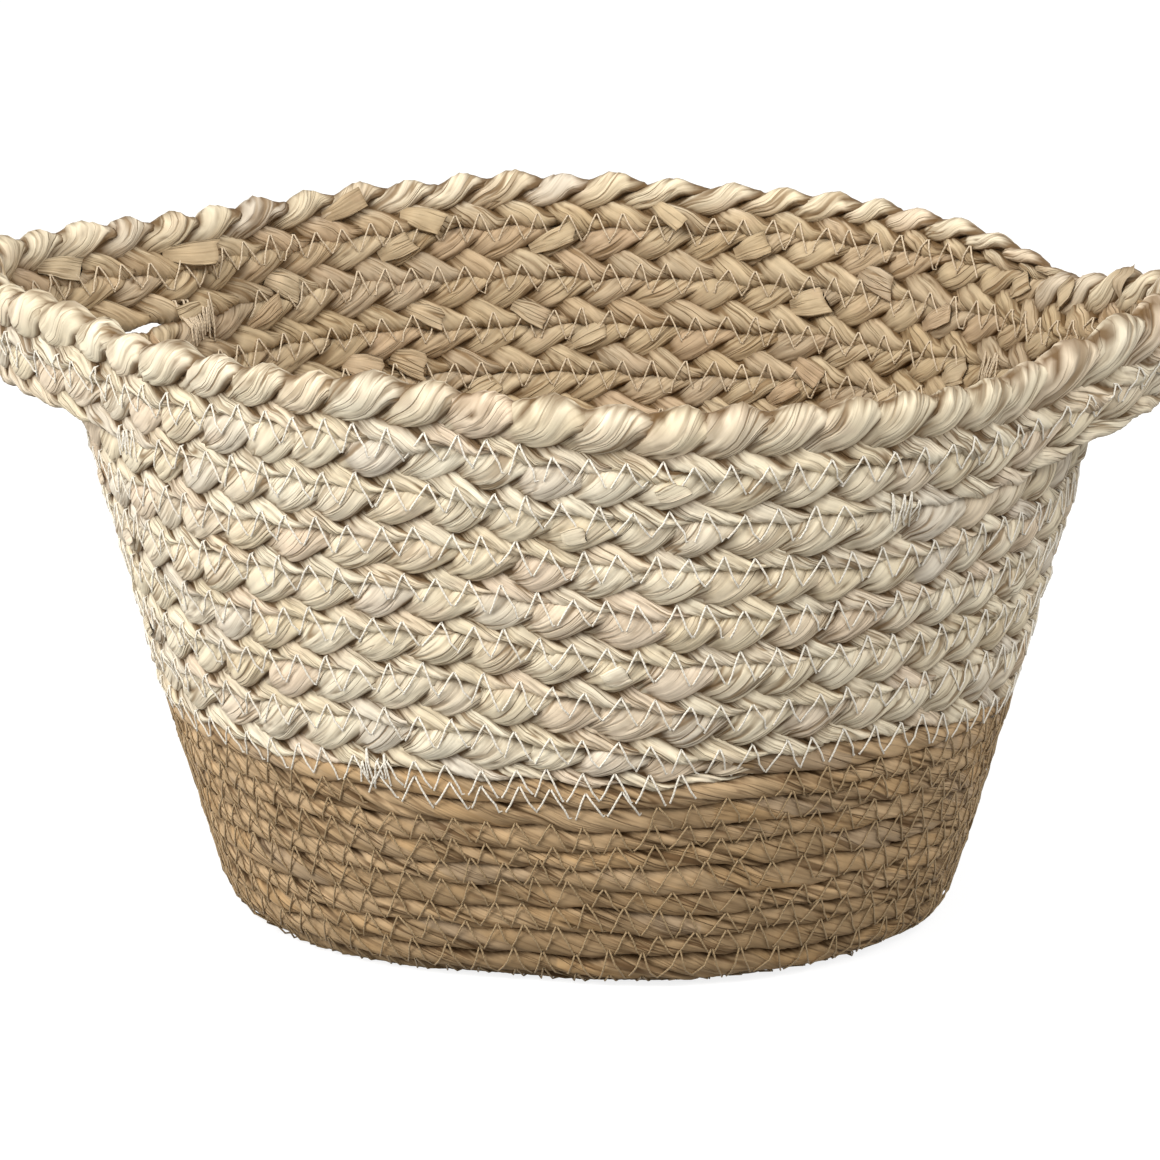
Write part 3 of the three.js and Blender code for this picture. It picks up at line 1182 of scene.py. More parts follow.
@dataclass
class HuskBraid:
    """The cream braid of three flattened husk strands that makes the upper wall and the rim.

    Each strand lies as a strip on the row's rounded surface. It comes up through the row's middle,
    crosses the face to an edge, wraps over the edge, crosses the back to the middle, and dives
    through to the face again, where it makes for the other edge.
    """

    route: Route
    relief: Relief
    strands: int = 3
    period: float = 48
    slow_pace: Line = Line(3.2, 60, 21)
    quick_pace: Line = Line(1.5, 23, 22)
    row_width: float = 14.3
    overlap: float = 0.65
    core_depth: float = 2.1
    outline_half_width: float = 5.7
    outline_share: float = 0.86
    squareness: float = 2.5
    half_width: float = 5.1
    half_thickness: float = 2.35
    plumpness: float = 0.15
    waist: float = 0.06
    thickness_spread: float = 0.18
    middle_drop: float = 1.6
    upper_proud: float = 0.45
    lower_sunk: float = 0.35
    shingle: float = 0.35
    scallop: float = 0.6
    upper_scallop: float = 0.4
    unevenness: float = 0.4
    tilt: float = 0.2
    rim_tilt: float = 0.12
    edge_bulge: float = 0.25
    rim_bulge: float = 0.2
    face_lag: float = 0.02
    rim_lag: float = 0.04
    lower_bow: float = 0.07
    rim_depth: float = 0.12
    # How much further in from the strip's edges the painted edge shade reaches on the rim.
    rim_brink: float = 0.08
    rim_notch: float = 0.9
    dive_reach: float = 0.6
    sides: int = 44
    ring_spacing: float = 1.8
    side_power: float = 0.92
    crown_power: float = 0.95
    pleats: float = 4
    pleat_depth: float = 0.5
    pleat_level: float = 0.7
    pleat_sharpness: float = 0.6
    pleat_offset: float = 0.31
    slow_shift: Line = Line(0.9, 30, 5)
    quick_shift: Line = Line(0.3, 11, 6)
    lip_line: Line = Line(0.75, 31, 8)
    # Painted shade, as shares of the crease_shade value: in pleat valleys, at strip edges, at dives and
    # in the rim's notches.
    pleat_shade: float = 0.8
    brink_shade: float = 0.75
    dive_shade: float = 0.4
    notch_shade: float = 0.4
    bare_rim: float = 0.3
    lip_height: float = 0.4
    first_seed: int = 100
    seeds_each: int = 12

    def on_core(self, lap: np.ndarray, half_width: np.ndarray, height: np.ndarray) -> Arrays:
        """Place points on the row's core, a rounded oblong that the strands lie on.

        Formula in words: laps run evenly along the oblong's outline from the middle of the face, 0,
        over the upper edge, 1, to the middle of the back, 2, and a point stands off the outline along
        its normal.

        Args:
            lap: Place round the core.
            half_width: Half width of the core.
            height: Distance off the core.

        Returns:
            Distances up and out.
        """
        power = 2 / self.squareness
        turn = np.linspace(-math.pi / 2, 3 * math.pi / 2, 721)
        rise = powered(np.sin(turn), power) * self.outline_half_width
        stand = powered(np.cos(turn), power) * self.core_depth
        run = np.concatenate([[0], np.cumsum(np.hypot(np.diff(rise), np.diff(stand)))])
        angle = np.interp(np.mod(lap + 1, 4) - 1, run / run[-1] * 4 - 1, turn)
        up = powered(np.sin(angle), power)
        out = powered(np.cos(angle), power)
        normal_up = powered(up, self.squareness - 1) / half_width
        normal_out = powered(out, self.squareness - 1) / self.core_depth
        length = np.hypot(normal_up, normal_out)
        return (
            up * half_width + height * normal_up / length,
            out * self.core_depth + height * normal_out / length,
        )

    def worked(self, arc: np.ndarray) -> np.ndarray:
        """Even length of braiding that a length along the uneven braid stands for."""
        return arc + self.slow_pace.read(arc) + self.quick_pace.read(arc)

    def on_rim(self, arc: np.ndarray) -> np.ndarray:
        """Share of the rim's look at lengths along the braid, which is 1 in the top turn."""
        return ease(self.route.step(arc), ROWS.top_start - 1, ROWS.top_start + 1)

    def pace(self, number: int, arc: np.ndarray) -> Pace:
        """Where a strand is in its round.

        Formula in words: the strands follow each other a third of a period apart, and half a period
        makes one lobe. The core is as wide as the row less the strands on its edges, and reaches a
        little more or less past them at each lobe.

        Args:
            number: Which of the strands.
            arc: Lengths along the braid.

        Returns:
            The strand's values at each length.
        """
        place = arc[:, None]
        width = self.route.width(place)
        scale = width / self.row_width
        phase = TURN * (number / self.strands - self.worked(place) / self.period)
        lobe = phase / math.pi - 0.5
        seed = self.first_seed + self.seeds_each * number
        reach = self.overlap + self.unevenness * drift(lobe, 1, seed + 4) * scale
        return Pace(
            place=place,
            phase=phase,
            lobe=lobe,
            leaf=np.floor(phase / math.pi).astype(int),
            scale=scale,
            rimmed=self.on_rim(place),
            half_row=width / 2,
            core=width / 2 + reach - self.half_thickness,
            seed=seed,
        )

    def strip(self, pace: Pace) -> Strip:
        """A strand's own flat section along its length.

        Formula in words: a flat oblong whose width and thickness drift from lobe to lobe, swollen
        where it wraps over an edge. Pleats are ridges with sharp valleys between them, which shift
        slowly along the strand, and there is a step where one leaf ends on another. The valleys get
        painted shade.

        Args:
            pace: Where the strand is in its round.

        Returns:
            The section at each ring.
        """
        place, lobe, seed = pace.place, pace.lobe, pace.seed
        angle = np.linspace(0, TURN, self.sides, endpoint=False)[None, :]
        across = powered(np.cos(angle), self.side_power)
        crown = powered(np.sin(angle), self.crown_power)
        face = np.sign(crown)
        plump = 1 + self.plumpness * drift(lobe, 1, seed) - self.waist * np.cos(4 * pace.phase)
        bulge = (self.edge_bulge + self.rim_bulge * pace.rimmed) * np.sin(pace.phase) ** 8
        thick = (1 + self.thickness_spread * drift(lobe, 1, seed + 1)) * (1 + bulge)
        half_width = self.half_width * plump * (0.2 + 0.8 * pace.scale)
        half_thickness = self.half_thickness * thick * (0.35 + 0.65 * pace.scale)
        shift = self.slow_shift.read(place, seed) + self.quick_shift.read(place, seed)
        ridge = across * self.pleats / 2 + shift + face * self.pleat_offset
        fold = np.abs(np.sin(math.pi * ridge)) ** self.pleat_sharpness
        strength = 0.3 + scatter(np.floor(ridge).astype(int) * 31 + pace.leaf, seed + 7)
        lip_place = self.lip_line.read(place, seed) * face
        lip = ease(across - lip_place, -0.05, 0.05) - 0.5
        ripple = self.pleat_depth * strength * (fold - self.pleat_level) + self.lip_height * lip
        return Strip(
            across=across,
            side=across * (half_width + 0.3 * ripple),
            rise=crown * (half_thickness + ripple),
            fold_shade=(1 - fold) ** 2 * strength,
        )

    def lap(self, pace: Pace, strip: Strip, sign: int) -> Lap:
        """Lay a strip over one edge of the core.

        Formula in words: over a half period the strip goes round the core from the face's middle
        over the edge to the back's middle, fastest at the edge, and lags a little on the face. It
        leans as its path does, is tilted over the strip before it, and sinks to the core's middle
        where it dives.

        Args:
            pace: Where the strand is in its round.
            strip: Its own section.
            sign: 1 for the upper edge, and -1 for the lower one.

        Returns:
            The laid strip.
        """
        started = 0.0 if sign > 0 else math.pi
        run = np.mod(pace.phase - started + math.pi / 2, TURN) - math.pi / 2
        lag = self.face_lag + self.rim_lag * pace.rimmed
        bow = 0 if sign > 0 else self.lower_bow
        quarter = self.outline_share * (pace.core + self.core_depth)
        rate = 2 / math.pi + 4 * lag * np.cos(4 * run) + 2 * bow * np.cos(2 * run)
        lean = np.arctan(rate * quarter * TURN / self.period)
        side, rise = sign * strip.side, sign * strip.rise
        dive = 1 - ease(np.abs(np.sin(run)), 0, self.dive_reach)
        facing_out = np.cos(run)
        front = ease(facing_out, -0.2, 0.6) * (1 - dive)
        proud = self.upper_proud if sign > 0 else -self.lower_sunk
        tilt = (self.tilt + self.rim_tilt * pace.rimmed) * np.tanh(2.5 * facing_out) * (1 - dive)
        height = rise - self.core_depth * dive + proud * front + sign * tilt * side
        turned = 2 * run / math.pi + lag * np.sin(4 * run) + bow * np.sin(2 * run)
        up, out = self.on_core(sign * turned + side * np.cos(lean) / quarter, pace.core, height)
        return Lap(pace.place + sign * side * np.sin(lean), up, out, run, dive)

    def strand(self, number: int, arc: np.ndarray) -> Laid:
        """One strand over the whole braid.

        Formula in words: it is laid over the upper and the lower edge by turns, and where it dives
        its place is mixed from both. The row's middle is drawn down on the face, lobes stray a little
        up and out, and the lower edge stands thicker than the upper one. Both edges swell out in a
        wave that peaks where a strip wraps over them, most of all on the rim.

        Args:
            number: Which of the strands.
            arc: Lengths along the braid where the strand has a ring of points.

        Returns:
            The laid strand.
        """
        pace = self.pace(number, arc)
        strip = self.strip(pace)
        upper, lower = (self.lap(pace, strip, sign) for sign in (1, -1))
        share = ease(upper.run, -0.3, 0.3) * (1 - ease(upper.run, math.pi - 0.3, math.pi + 0.3))
        along, up, out = (share * upper[k] + (1 - share) * lower[k] for k in range(3))
        along = np.clip(along, 0, self.route.length)
        level = np.clip(up / pace.half_row, -1, 1)
        drop = self.middle_drop * pace.scale * (1 - level**2) * ease(out, -1, 2)
        up = up - drop + self.unevenness * pace.scale * drift(pace.lobe, 1, pace.seed + 2)
        out = out + 0.8 * self.unevenness * drift(pace.lobe, 1, pace.seed + 3)
        out = out - self.shingle * level * np.tanh(out / 1.5)
        beat = self.strands * self.worked(along) / self.period
        upper_share = self.upper_scallop + (1 - self.upper_scallop) * pace.rimmed
        bulge = upper_share * ease(level, 0.1, 1) * np.cos(TURN * (beat - 0.25))
        bulge = bulge - ease(-level, 0.1, 1) * np.cos(TURN * (beat - 0.75))
        up = up + self.scallop * (1 + self.rim_notch * pace.rimmed) * pace.scale * bulge
        self.relief.add(along, up, out)
        # Where painted shade is laid in the notches between the rim's lobes.
        notch = pace.rimmed * ease(level, 0.45, 0.95) * ease(-bulge, 0.1, 0.95)
        return Laid(along, up, out, self.husk(pace, strip, up, out, upper.dive, notch))

    def husk(
        self,
        pace: Pace,
        strip: Strip,
        up: np.ndarray,
        out: np.ndarray,
        dive: np.ndarray,
        notch: np.ndarray,
    ) -> np.ndarray:
        """Husk values of a laid strand.

        Formula in words: the crease_shade value is painted shade, the greatest of that in the grooves
        where the surface comes near the row's middle surface, at the strip's thin edges and at its dives,
        with the shade in the pleat valleys and the rim's notches added. Each lobe has its own tint and
        hue, and the inside share, partly the inner side's browner husk and partly painted shade, darkens
        the inner face.

        Args:
            pace: Where the strand is in its round.
            strip: Its own section.
            up: Distances up the row.
            out: Distances out of the wall.
            dive: Share of the dive at each ring.
            notch: Share of a notch between two lobes of the rim.

        Returns:
            Tint, hue, crease_shade and inside share at each point.
        """
        # Painted shade: in the grooves between rows, at the strip's edges, where it dives, in its pleat
        # valleys and in the rim's notches.
        crest = pace.rimmed * np.maximum(up, 0) / pace.half_row
        shown = np.maximum(np.abs(out) / (self.core_depth + self.half_thickness), crest)
        groove_shade = 1 - ease(shown, 0.04, 0.55)
        edge_shade = self.brink_shade * ease(np.abs(strip.across) + self.rim_brink * pace.rimmed, 0.87, 1)
        crease_shade = np.maximum(np.maximum(groove_shade, edge_shade), self.dive_shade * dive)
        crease_shade = crease_shade + self.pleat_shade * strip.fold_shade + self.notch_shade * notch
        fine = 0.22 * drift(pace.place + 60 * strip.across, 20, pace.seed)
        tint = scatter(pace.leaf, pace.seed + 9) + fine + self.rim_depth * pace.rimmed
        hue = scatter(pace.leaf, pace.seed + 10)
        behind = ease(-out, -1, 3) * (1 - 0.75 * pace.rimmed * ease(up, -3, 4))
        return husk_values(np.clip(tint, 0, 1), hue, np.clip(crease_shade, 0, 1), behind)

    def rows(self, names: Names, finish: Finish) -> list[bpy.types.Object]:
        """Build stretches of the braid as pieces.

        Args:
            names: First and last station of each named piece.
            finish: What it is made of.

        Returns:
            The pieces.
        """
        arc = self.route.rings(self.ring_spacing)
        laid = [self.strand(number, arc) for number in range(self.strands)]
        self.relief.settle()
        tubes = []
        for number, strand in enumerate(laid):
            points = self.route.bend(strand.along, strand.up, strand.out)
            # Painted shade where the strand lies buried among its neighbours, partly left off the rim's
            # open top edge.
            bare = self.bare_rim * self.on_rim(strand.along) * ease(strand.up, 2, 5)
            husk = strand.shaded(self.relief, 0.4, 1.55, bare)
            tubes.append(whole(Skin(points, husk, arc * MM + 0.37 * number, 0.024)))
        return build_stretches(self.route, arc, tubes, names, finish)


@dataclass
class HuskRope:
    """The tan rope of twisted husk that makes the floor and the lower wall."""

    route: Route
    relief: Relief
    half_thickness: float = 4.0
    thickness_line: Line = Line(0.09, 34, 31)
    overlap: float = 0.45
    lay: float = 62
    sides: int = 32
    ring_spacing: float = 2.0
    slits: int = 4
    slit_depth: float = 0.8
    slit_width: float = 0.13
    slit_line: Line = Line(0.9, 48, 40)
    leaf_step: float = 0.26
    leaf_spread: float = 1.1
    facet_height: float = 0.16
    facet_line: Line = Line(2.2, 55, 32)
    lump_line: Line = Line(0.2, 22, 33)
    squareness: float = 2.3
    leaf_length: float = 46
    batch_length: float = 210
    tint_line: Line = Line(0.3, 24, 62)
    low_painted_shade: float = 0.65
    left_paleness: float = 0.8
    pale_facing: float = math.radians(195)

    def leaves(self, place: np.ndarray, start: np.ndarray) -> Arrays:
        """Leaf facets and slits on the rope's twisted surface.

        Formula in words: facets are a slow wave round the rope with lumps along it. A slit is a
        narrow bell-shaped valley whose depth comes and goes along the rope, with a leaf's edge that
        steps up beside it and falls off slowly.

        Args:
            place: Lengths along the rope.
            start: Angles round it that turn with the lay.

        Returns:
            Height of the facets, and depth of the slits from 0 to 1.
        """
        facets = self.facet_height * np.sin(3 * start + self.facet_line.read(place))
        facets = facets + self.lump_line.read(place + 90 * start)
        valley = np.zeros_like(facets)
        for number in range(self.slits):
            middle = TURN * number / self.slits + self.slit_line.read(place, number)
            away = turned_from(start, middle)
            open_share = ease(drift(place, 17, 50 + number), -0.1, 0.5)
            valley = np.maximum(valley, open_share * np.exp(-((away / self.slit_width) ** 2)))
            edge = ease(away, 0, 0.12) - ease(away, 0.12, self.leaf_spread)
            facets = facets + self.leaf_step * edge * open_share
        return facets, valley

    def tones(self, place: np.ndarray, start: np.ndarray) -> Arrays:
        """Tint and hue of the rope's leaves.

        Formula in words: each leaf has its own values for a leaf's length, and each batch of husk its
        own tint. The lowest rows are darker, as painted shade near the floor, and the left end is paler.

        Args:
            place: Lengths along the rope.
            start: Angles round it that turn with the lay.

        Returns:
            Tint and hue.
        """
        stray = self.slit_line.read(place)
        leaf = np.floor(start / TURN * self.slits + stray / TURN).astype(int)
        patch = np.floor(place / self.leaf_length + 0.35 * leaf).astype(int)
        batch = np.floor(place / self.batch_length).astype(int)
        tint = 0.5 * scatter(patch * 7 + leaf, 61) + 0.5 * scatter(batch, 64)
        tint = tint + self.tint_line.read(place + 50 * start)
        step = self.route.step(place)
        slant = np.interp(step, self.route.steps, self.route.slants)
        towards_left = np.cos(WALL.place(step)[0] - self.pale_facing)
        # Painted shade: the rows near the floor are darker.
        tint = tint + self.low_painted_shade * (1 - ease(slant, 8, 42))
        tint = tint - self.left_paleness * ease(towards_left, 0.35, 0.95)
        return tint, scatter(patch * 5 + leaf, 63)

    def skin(self, arc: np.ndarray) -> Skin:
        """The whole rope.

        Formula in words: the section is a rounded oblong as wide as its row. Its leaves lie on a long
        helix, so facets and slits keep their place on a grid that turns with the lay.

        Args:
            arc: Lengths along the rope where it has a ring of points.

        Returns:
            The rope's tube.
        """
        place = arc[:, None]
        width = self.route.width(place) + 2 * self.overlap
        start = np.linspace(0, TURN, self.sides, endpoint=False)[None, :]
        angle = start - TURN * place / self.lay
        cos, sin = np.cos(angle), np.sin(angle)
        thin_end = 1 - 0.6 * ease(self.route.step(place), -0.9, ROWS.rope_last)
        thick = self.half_thickness * (1 + self.thickness_line.read(place)) * thin_end
        power = self.squareness
        radius = (np.abs(2 * cos / width) ** power + np.abs(sin / thick) ** power) ** (-1 / power)
        facets, valley = self.leaves(place, start)
        radius = radius + facets - self.slit_depth * valley
        up = radius * cos
        out = radius * sin
        along = place + np.zeros_like(up)
        self.relief.add(along, up, out)
        self.relief.settle()
        # Painted shade in the grooves between rows and in the slits; the inside share is partly painted
        # shade.
        groove_shade = 1 - ease(np.abs(out) / self.half_thickness, 0.1, 0.72)
        crease_shade = np.clip(groove_shade + 0.9 * valley, 0, 1)
        tint, hue = self.tones(place, start)
        husk = husk_values(np.clip(tint, 0, 1), hue, crease_shade, ease(-out, -1, 2))
        shaded = Laid(along, up, out, husk).shaded(self.relief, 0.5, 1.8)
        return Skin(self.route.bend(along, up, out), shaded, arc * MM, 0.022)

    def rows(self, names: Names, finish: Finish) -> list[bpy.types.Object]:
        """Build stretches of the rope as pieces.

        Args:
            names: First and last station of each named piece.
            finish: What it is made of.

        Returns:
            The pieces.
        """
        arc = self.route.rings(self.ring_spacing)
        return build_stretches(self.route, arc, [whole(self.skin(arc))], names, finish)


@dataclass
class HuskEnds:
    """Cut ends of husk leaves that stick out of the braid where a new leaf was worked in."""

    braid: HuskBraid
    half_thickness: float = 0.3
    root_depth: float = 1.1
    root_rise: float = 1.45
    cup_height: float = 0.6
    pleat_height: float = 0.22
    rings: int = 12
    sides: int = 12
    inside_spacing: float = 52
    outside_spacing: float = 260
    first_arc: float = 150
    inside_phase: float = math.radians(165)
    outside_phase: float = math.radians(20)
    upper_share: float = 0.68
    hand_holes: tuple[Pair, Pair] = ((4, 9.8), (16, 22.2))
    hand_hole_rows: Pair = (110, 157)
    table_step: float = 2.0

    def leaf(
        self,
        start: Pair,
        run: Pair,
        width: float,
        lift: float,
        face: Face,
        seed: int,
    ) -> Skin:
        """One leaf end.

        Formula in words: a flat oblong section goes straight over the row's face. It starts under
        the husk, comes out over it, stands off by the lift at its cut end, and is cupped across. Its
        cut edge is skew and ragged.

        Args:
            start: Lengths along and up the row where it starts.
            run: How far it goes along and up.
            width: Width at its cut end.
            lift: How far the cut end stands off the husk.
            face: Face of the wall that it lies on.
            seed: Which random leaf it is.

        Returns:
            The leaf's tube.
        """
        chance = np.random.default_rng(seed).uniform(-1, 1, 4)
        share = np.linspace(0, 1, self.rings)[:, None]
        angle = np.linspace(0, TURN, self.sides, endpoint=False)[None, :]
        side = powered(np.cos(angle), 0.8) * width / 2 * (0.6 + 0.4 * ease(share, 0, 0.6))
        length = math.hypot(*run)
        ragged = 0.45 * chance[0] * side + 0.9 * drift(side, 1.1, seed)
        reach = share + ragged * share**2 / length
        along = start[0] + reach * run[0] - side * run[1] / length
        up = start[1] + reach * run[1] + side * run[0] / length
        relief = self.braid.relief
        ground = relief.read(start[0] + share * run[0], start[1] + share * run[1], face)
        own = relief.read(along, up, face)
        cup = (0.5 + 0.5 * chance[1]) * self.cup_height * (side / width * 2) ** 2 * share
        pleat = self.pleat_height * np.abs(np.sin(7 * side / width + 3 * chance[2])) ** 0.6
        base = ground * share + own * (1 - share)
        risen = self.root_rise * ease(share, 0, 0.4)
        stand = base - self.root_depth + risen + lift * share**2 + cup + pleat
        thin = self.half_thickness * (1 - 0.65 * ease(share, 0.8, 1))
        out = face.value * (stand + thin * np.sin(angle))
        along = np.clip(along, 0, self.braid.route.length)
        points = self.braid.route.bend(along, up, out)
        # Painted shade at the cut edge and where the leaf comes out from under the husk; inside leaves
        # also take the inside share, partly painted shade.
        crease_shade = 0.3 * ease(share, 0.94, 1) + 0.4 * (1 - ease(share, 0, 0.3)) + 0 * along
        tint = 0.45 + 0.5 * chance[3]
        hue = 0.5 + 0.5 * chance[2]
        husk = husk_values(tint, hue, crease_shade, float(face is Face.INSIDE))
        return Skin(points, husk, share[:, 0] * length * MM + seed * 0.013, 2 * width * MM)

    def lobes(self, spacing: float, phase: float, seed: int) -> np.ndarray:
        """Choose lengths along the braid where a strand is at a phase, and none at the hand holes.

        Args:
            spacing: Length in which there is about one.
            phase: The strand's phase.
            seed: Which random choice it is.

        Returns:
            The lengths.
        """
        table = np.arange(0, self.braid.route.length, self.table_step)
        worked = self.braid.worked(table)
        step = self.braid.period / self.braid.strands
        count = int((self.braid.route.length - 2 * self.first_arc) / spacing)
        random = np.random.default_rng(seed).uniform(-0.5, 0.5, count)
        wanted = self.first_arc + spacing * (np.arange(count) + 0.5 + random)
        target = (np.round(wanted / step) - phase / TURN * self.braid.strands) * step
        arcs = np.interp(target, worked, table)
        station = self.braid.route.step(arcs)
        within = np.mod(station, WALL.stations)
        beside = np.any([(within > low) & (within < high) for low, high in self.hand_holes], axis=0)
        first, last = self.hand_hole_rows
        return arcs[~(beside & (station > first) & (station < last))]

    def inside(self) -> list[Stretch]:
        """Ends on the inside face: each lies along an upper or a lower lobe and over the next.

        Returns:
            Their tubes.
        """
        tubes = []
        for number, arc in enumerate(self.lobes(self.inside_spacing, self.inside_phase, 301)):
            chance = np.random.default_rng(400 + number).uniform(0, 1, 5)
            rise = 1 if chance[0] < self.upper_share else -1
            start = (float(arc) - 2 + (0 if rise > 0 else 8), rise * 0.6)
            run = (9 + 4.5 * chance[1], rise * (3.4 + 2.4 * chance[2]))
            width = 5.4 + 3.2 * chance[3]
            lift = 0.9 * chance[4] ** 2
            tubes.append(whole(self.leaf(start, run, width, lift, Face.INSIDE, 500 + number)))
        return tubes

    def outside(self) -> list[Stretch]:
        """Ends on the outside face, which are few and lie close.

        Returns:
            Their tubes.
        """
        tubes = []
        arcs = self.lobes(self.outside_spacing, self.outside_phase, 302)
        arcs = arcs[self.braid.route.step(arcs) < ROWS.top_start - 3]
        for number, arc in enumerate(arcs):
            chance = np.random.default_rng(600 + number).uniform(0, 1, 4)
            run = (-7.5 - 2 * chance[0], 2.5 + 2 * chance[1])
            start = (float(arc), 0.6)
            width = 4 + 2 * chance[2]
            tubes.append(whole(self.leaf(start, run, width, 0.1, Face.OUTSIDE, 700 + number)))
        return tubes

    def flaps(self) -> list[Stretch]:
        """Larger loose leaves: two hang from the rim, one stands up at an ear, one lies at the other.

        Returns:
            Their tubes.
        """
        leaves = [
            (177.25, -1.5, (14, -1.5), 7.5, 3.4),
            (181.25, 1.5, (10, -6.5), 5.5, 2.6),
            (161.9, 1, (1.5, 10.5), 6.5, 1),
            (153.5, -3, (-11, -3), 5.5, 1.2),
        ]
        tubes = []
        for number, (station, up, run, width, lift) in enumerate(leaves):
            start = (float(self.braid.route.arc(station)), up)
            tubes.append(whole(self.leaf(start, run, width, lift, Face.INSIDE, 811 + number)))
        return tubes


def sweep(line: np.ndarray, facing: np.ndarray, radius: float, sides: int) -> Skin:
    """Carry a small round section along a line.

    Formula in words: at each point the section lies across the run of the line, with one axis as near
    as can be to the facing direction.

    Args:
        line: Points of shape (count, 3).
        facing: Directions away from the surface, of the same shape.
        radius: Radius of the section.
        sides: Number of its sides.

    Returns:
        The tube.
    """
    run = np.gradient(line, axis=0)
    run /= np.linalg.norm(run, axis=1, keepdims=True) + 1e-9
    side = np.cross(run, facing)
    side /= np.linalg.norm(side, axis=1, keepdims=True) + 1e-9
    top = np.cross(side, run)
    angle = np.linspace(0, TURN, sides, endpoint=False)[None, :, None]
    ring = np.cos(angle) * side[:, None, :] + np.sin(angle) * top[:, None, :]
    points = line[:, None, :] + radius * ring
    pieces = np.linalg.norm(np.diff(line, axis=0), axis=1)
    along = np.concatenate([[0], np.cumsum(pieces)]) * MM
    husk = np.zeros((*points.shape[:2], 4))
    return Skin(points, husk, along, TURN * radius * MM)


@dataclass
class Seam:
    """Where the edge between two rows runs, and how the rows' faces stand there.

    A point over the edge is on the upper row, half its width down from its middle, and a point under
    the edge is on the row a turn below, half its width up.
    """

    upper: Route
    upper_relief: Relief
    lower: Route
    lower_relief: Relief

    def height(self, step: np.ndarray, up: np.ndarray, face: Face) -> np.ndarray:
        """How far the rows' faces stand out.

        Args:
            step: Stations on the upper row.
            up: Heights over or under the edge.
            face: Which face of the wall.

        Returns:
            The distances out.
        """
        over = self.upper.arc(step)
        under = self.lower.arc(step - WALL.stations)
        high = self.upper_relief.read(over, up - self.upper.width(over) / 2, face)
        low = self.lower_relief.read(under, up + self.lower.width(under) / 2, face)
        return np.where(up >= 0, high, low)

    def place(self, step: np.ndarray, up: np.ndarray, out: np.ndarray) -> np.ndarray:
        """Points near the edge.

        Args:
            step: Stations on the upper row.
            up: Heights over or under the edge.
            out: Distances out of the rows' middles.

        Returns:
            Points of shape (..., 3).
        """
        over = self.upper.arc(step)
        under = self.lower.arc(step - WALL.stations)
        high = self.upper.bend(over, up - self.upper.width(over) / 2, out)
        low = self.lower.bend(under, up + self.lower.width(under) / 2, out)
        return np.where((up >= 0)[..., None], high, low)


@dataclass
class ZigzagStitch:
    """A zigzag of sewing thread over the edge between two rows, through the husk at its points.

    One period of the thread has ten points. The first and the sixth are in its two holes, and each
    point has its share of the period, its level between the holes and its depth in the husk.
    """

    seam: Seam
    pitch: float = 9
    rise: float = 3.9
    fall: float = 3.9
    radius: float = 0.28
    sides: int = 5
    seed: int = 70
    looseness: float = 0.1
    shares: tuple[float, ...] = (0, 0.05, 0.2, 0.33, 0.47, 0.5, 0.53, 0.67, 0.8, 0.95)
    levels: tuple[float, ...] = (-1, -1, -0.34, 0.34, 1, 1, 1, 0.34, -0.34, -1)
    depths: tuple[float, ...] = (1.3, 0.1, 0, 0, 0.1, 1.3, 0.1, 0, 0, 0.1)
    legs: tuple[tuple[int, int], ...] = ((1, 4), (6, 9))

    def holes(self, first: float, last: float) -> Arrays:
        """Where the thread's points lie on the seam.

        Formula in words: a point keeps to its share of the period and its level. Points at one hole
        stray together, and the points on a leg each stray a little on their own.

        Args:
            first: Station where the thread starts, on the upper row.
            last: Station where it ends.

        Returns:
            Lengths along the upper row, and heights over its lower edge, one period to a row.
        """
        start, end = (float(self.seam.upper.arc(station)) for station in (first, last))
        count = max(int((end - start) / self.pitch), 1)
        share, level = np.array(self.shares), np.array(self.levels)
        number = np.arange(count)[:, None]
        hole = number + np.where(share < 0.03, 0, np.where(share > 0.9, 1, 0.5))
        hole = np.where(np.abs(level) < 1, number + share, hole)
        uneven = self.looseness * drift(hole, 0.5, self.seed)
        arc = start + (end - start) / count * (number + share + uneven)
        tall = 1 + 1.6 * self.looseness * drift(hole, 0.5, self.seed + 1)
        shift = 0.5 * drift(number + share, 3, self.seed + 2)
        span = (self.rise + self.fall) / 2
        return arc, span * level * tall + (self.rise - self.fall) / 2 + shift

    def thread(self, first: float, last: float, face: Face) -> Skin:
        """The thread from one station to another.

        Formula in words: in each period it comes up out of a hole below the edge, runs straight to
        the hole at the top, comes out again close by and runs straight down. Between two holes it is
        taut: it keeps to the straight line between its ends, or to the husk where that stands higher.

        Args:
            first: Station where it starts, on the upper row.
            last: Station where it ends.
            face: Which face of the wall it lies on.

        Returns:
            The thread's tube.
        """
        arc, height = self.holes(first, last)
        step = self.seam.upper.step(arc)
        raised = self.seam.height(step, height, face)
        for low, high in self.legs:
            line = np.linspace(0, 1, high - low + 1)[None, :]
            taut = raised[:, low, None] * (1 - line) + raised[:, high, None] * line
            raised[:, low:high + 1] = np.maximum(raised[:, low:high + 1], taut)
        out = face.value * (raised + 1.1 * self.radius - np.array(self.depths))
        points = self.seam.place(step, height, out)
        facing = self.seam.place(step, height, out + face.value) - points
        points[..., 2] = np.maximum(points[..., 2], self.radius)
        skin = sweep(points.reshape(-1, 3), facing.reshape(-1, 3), self.radius, self.sides)
        # Marks thread on the inside face for its painted shade.
        skin.husk[..., 3] = float(face is Face.INSIDE)
        return skin


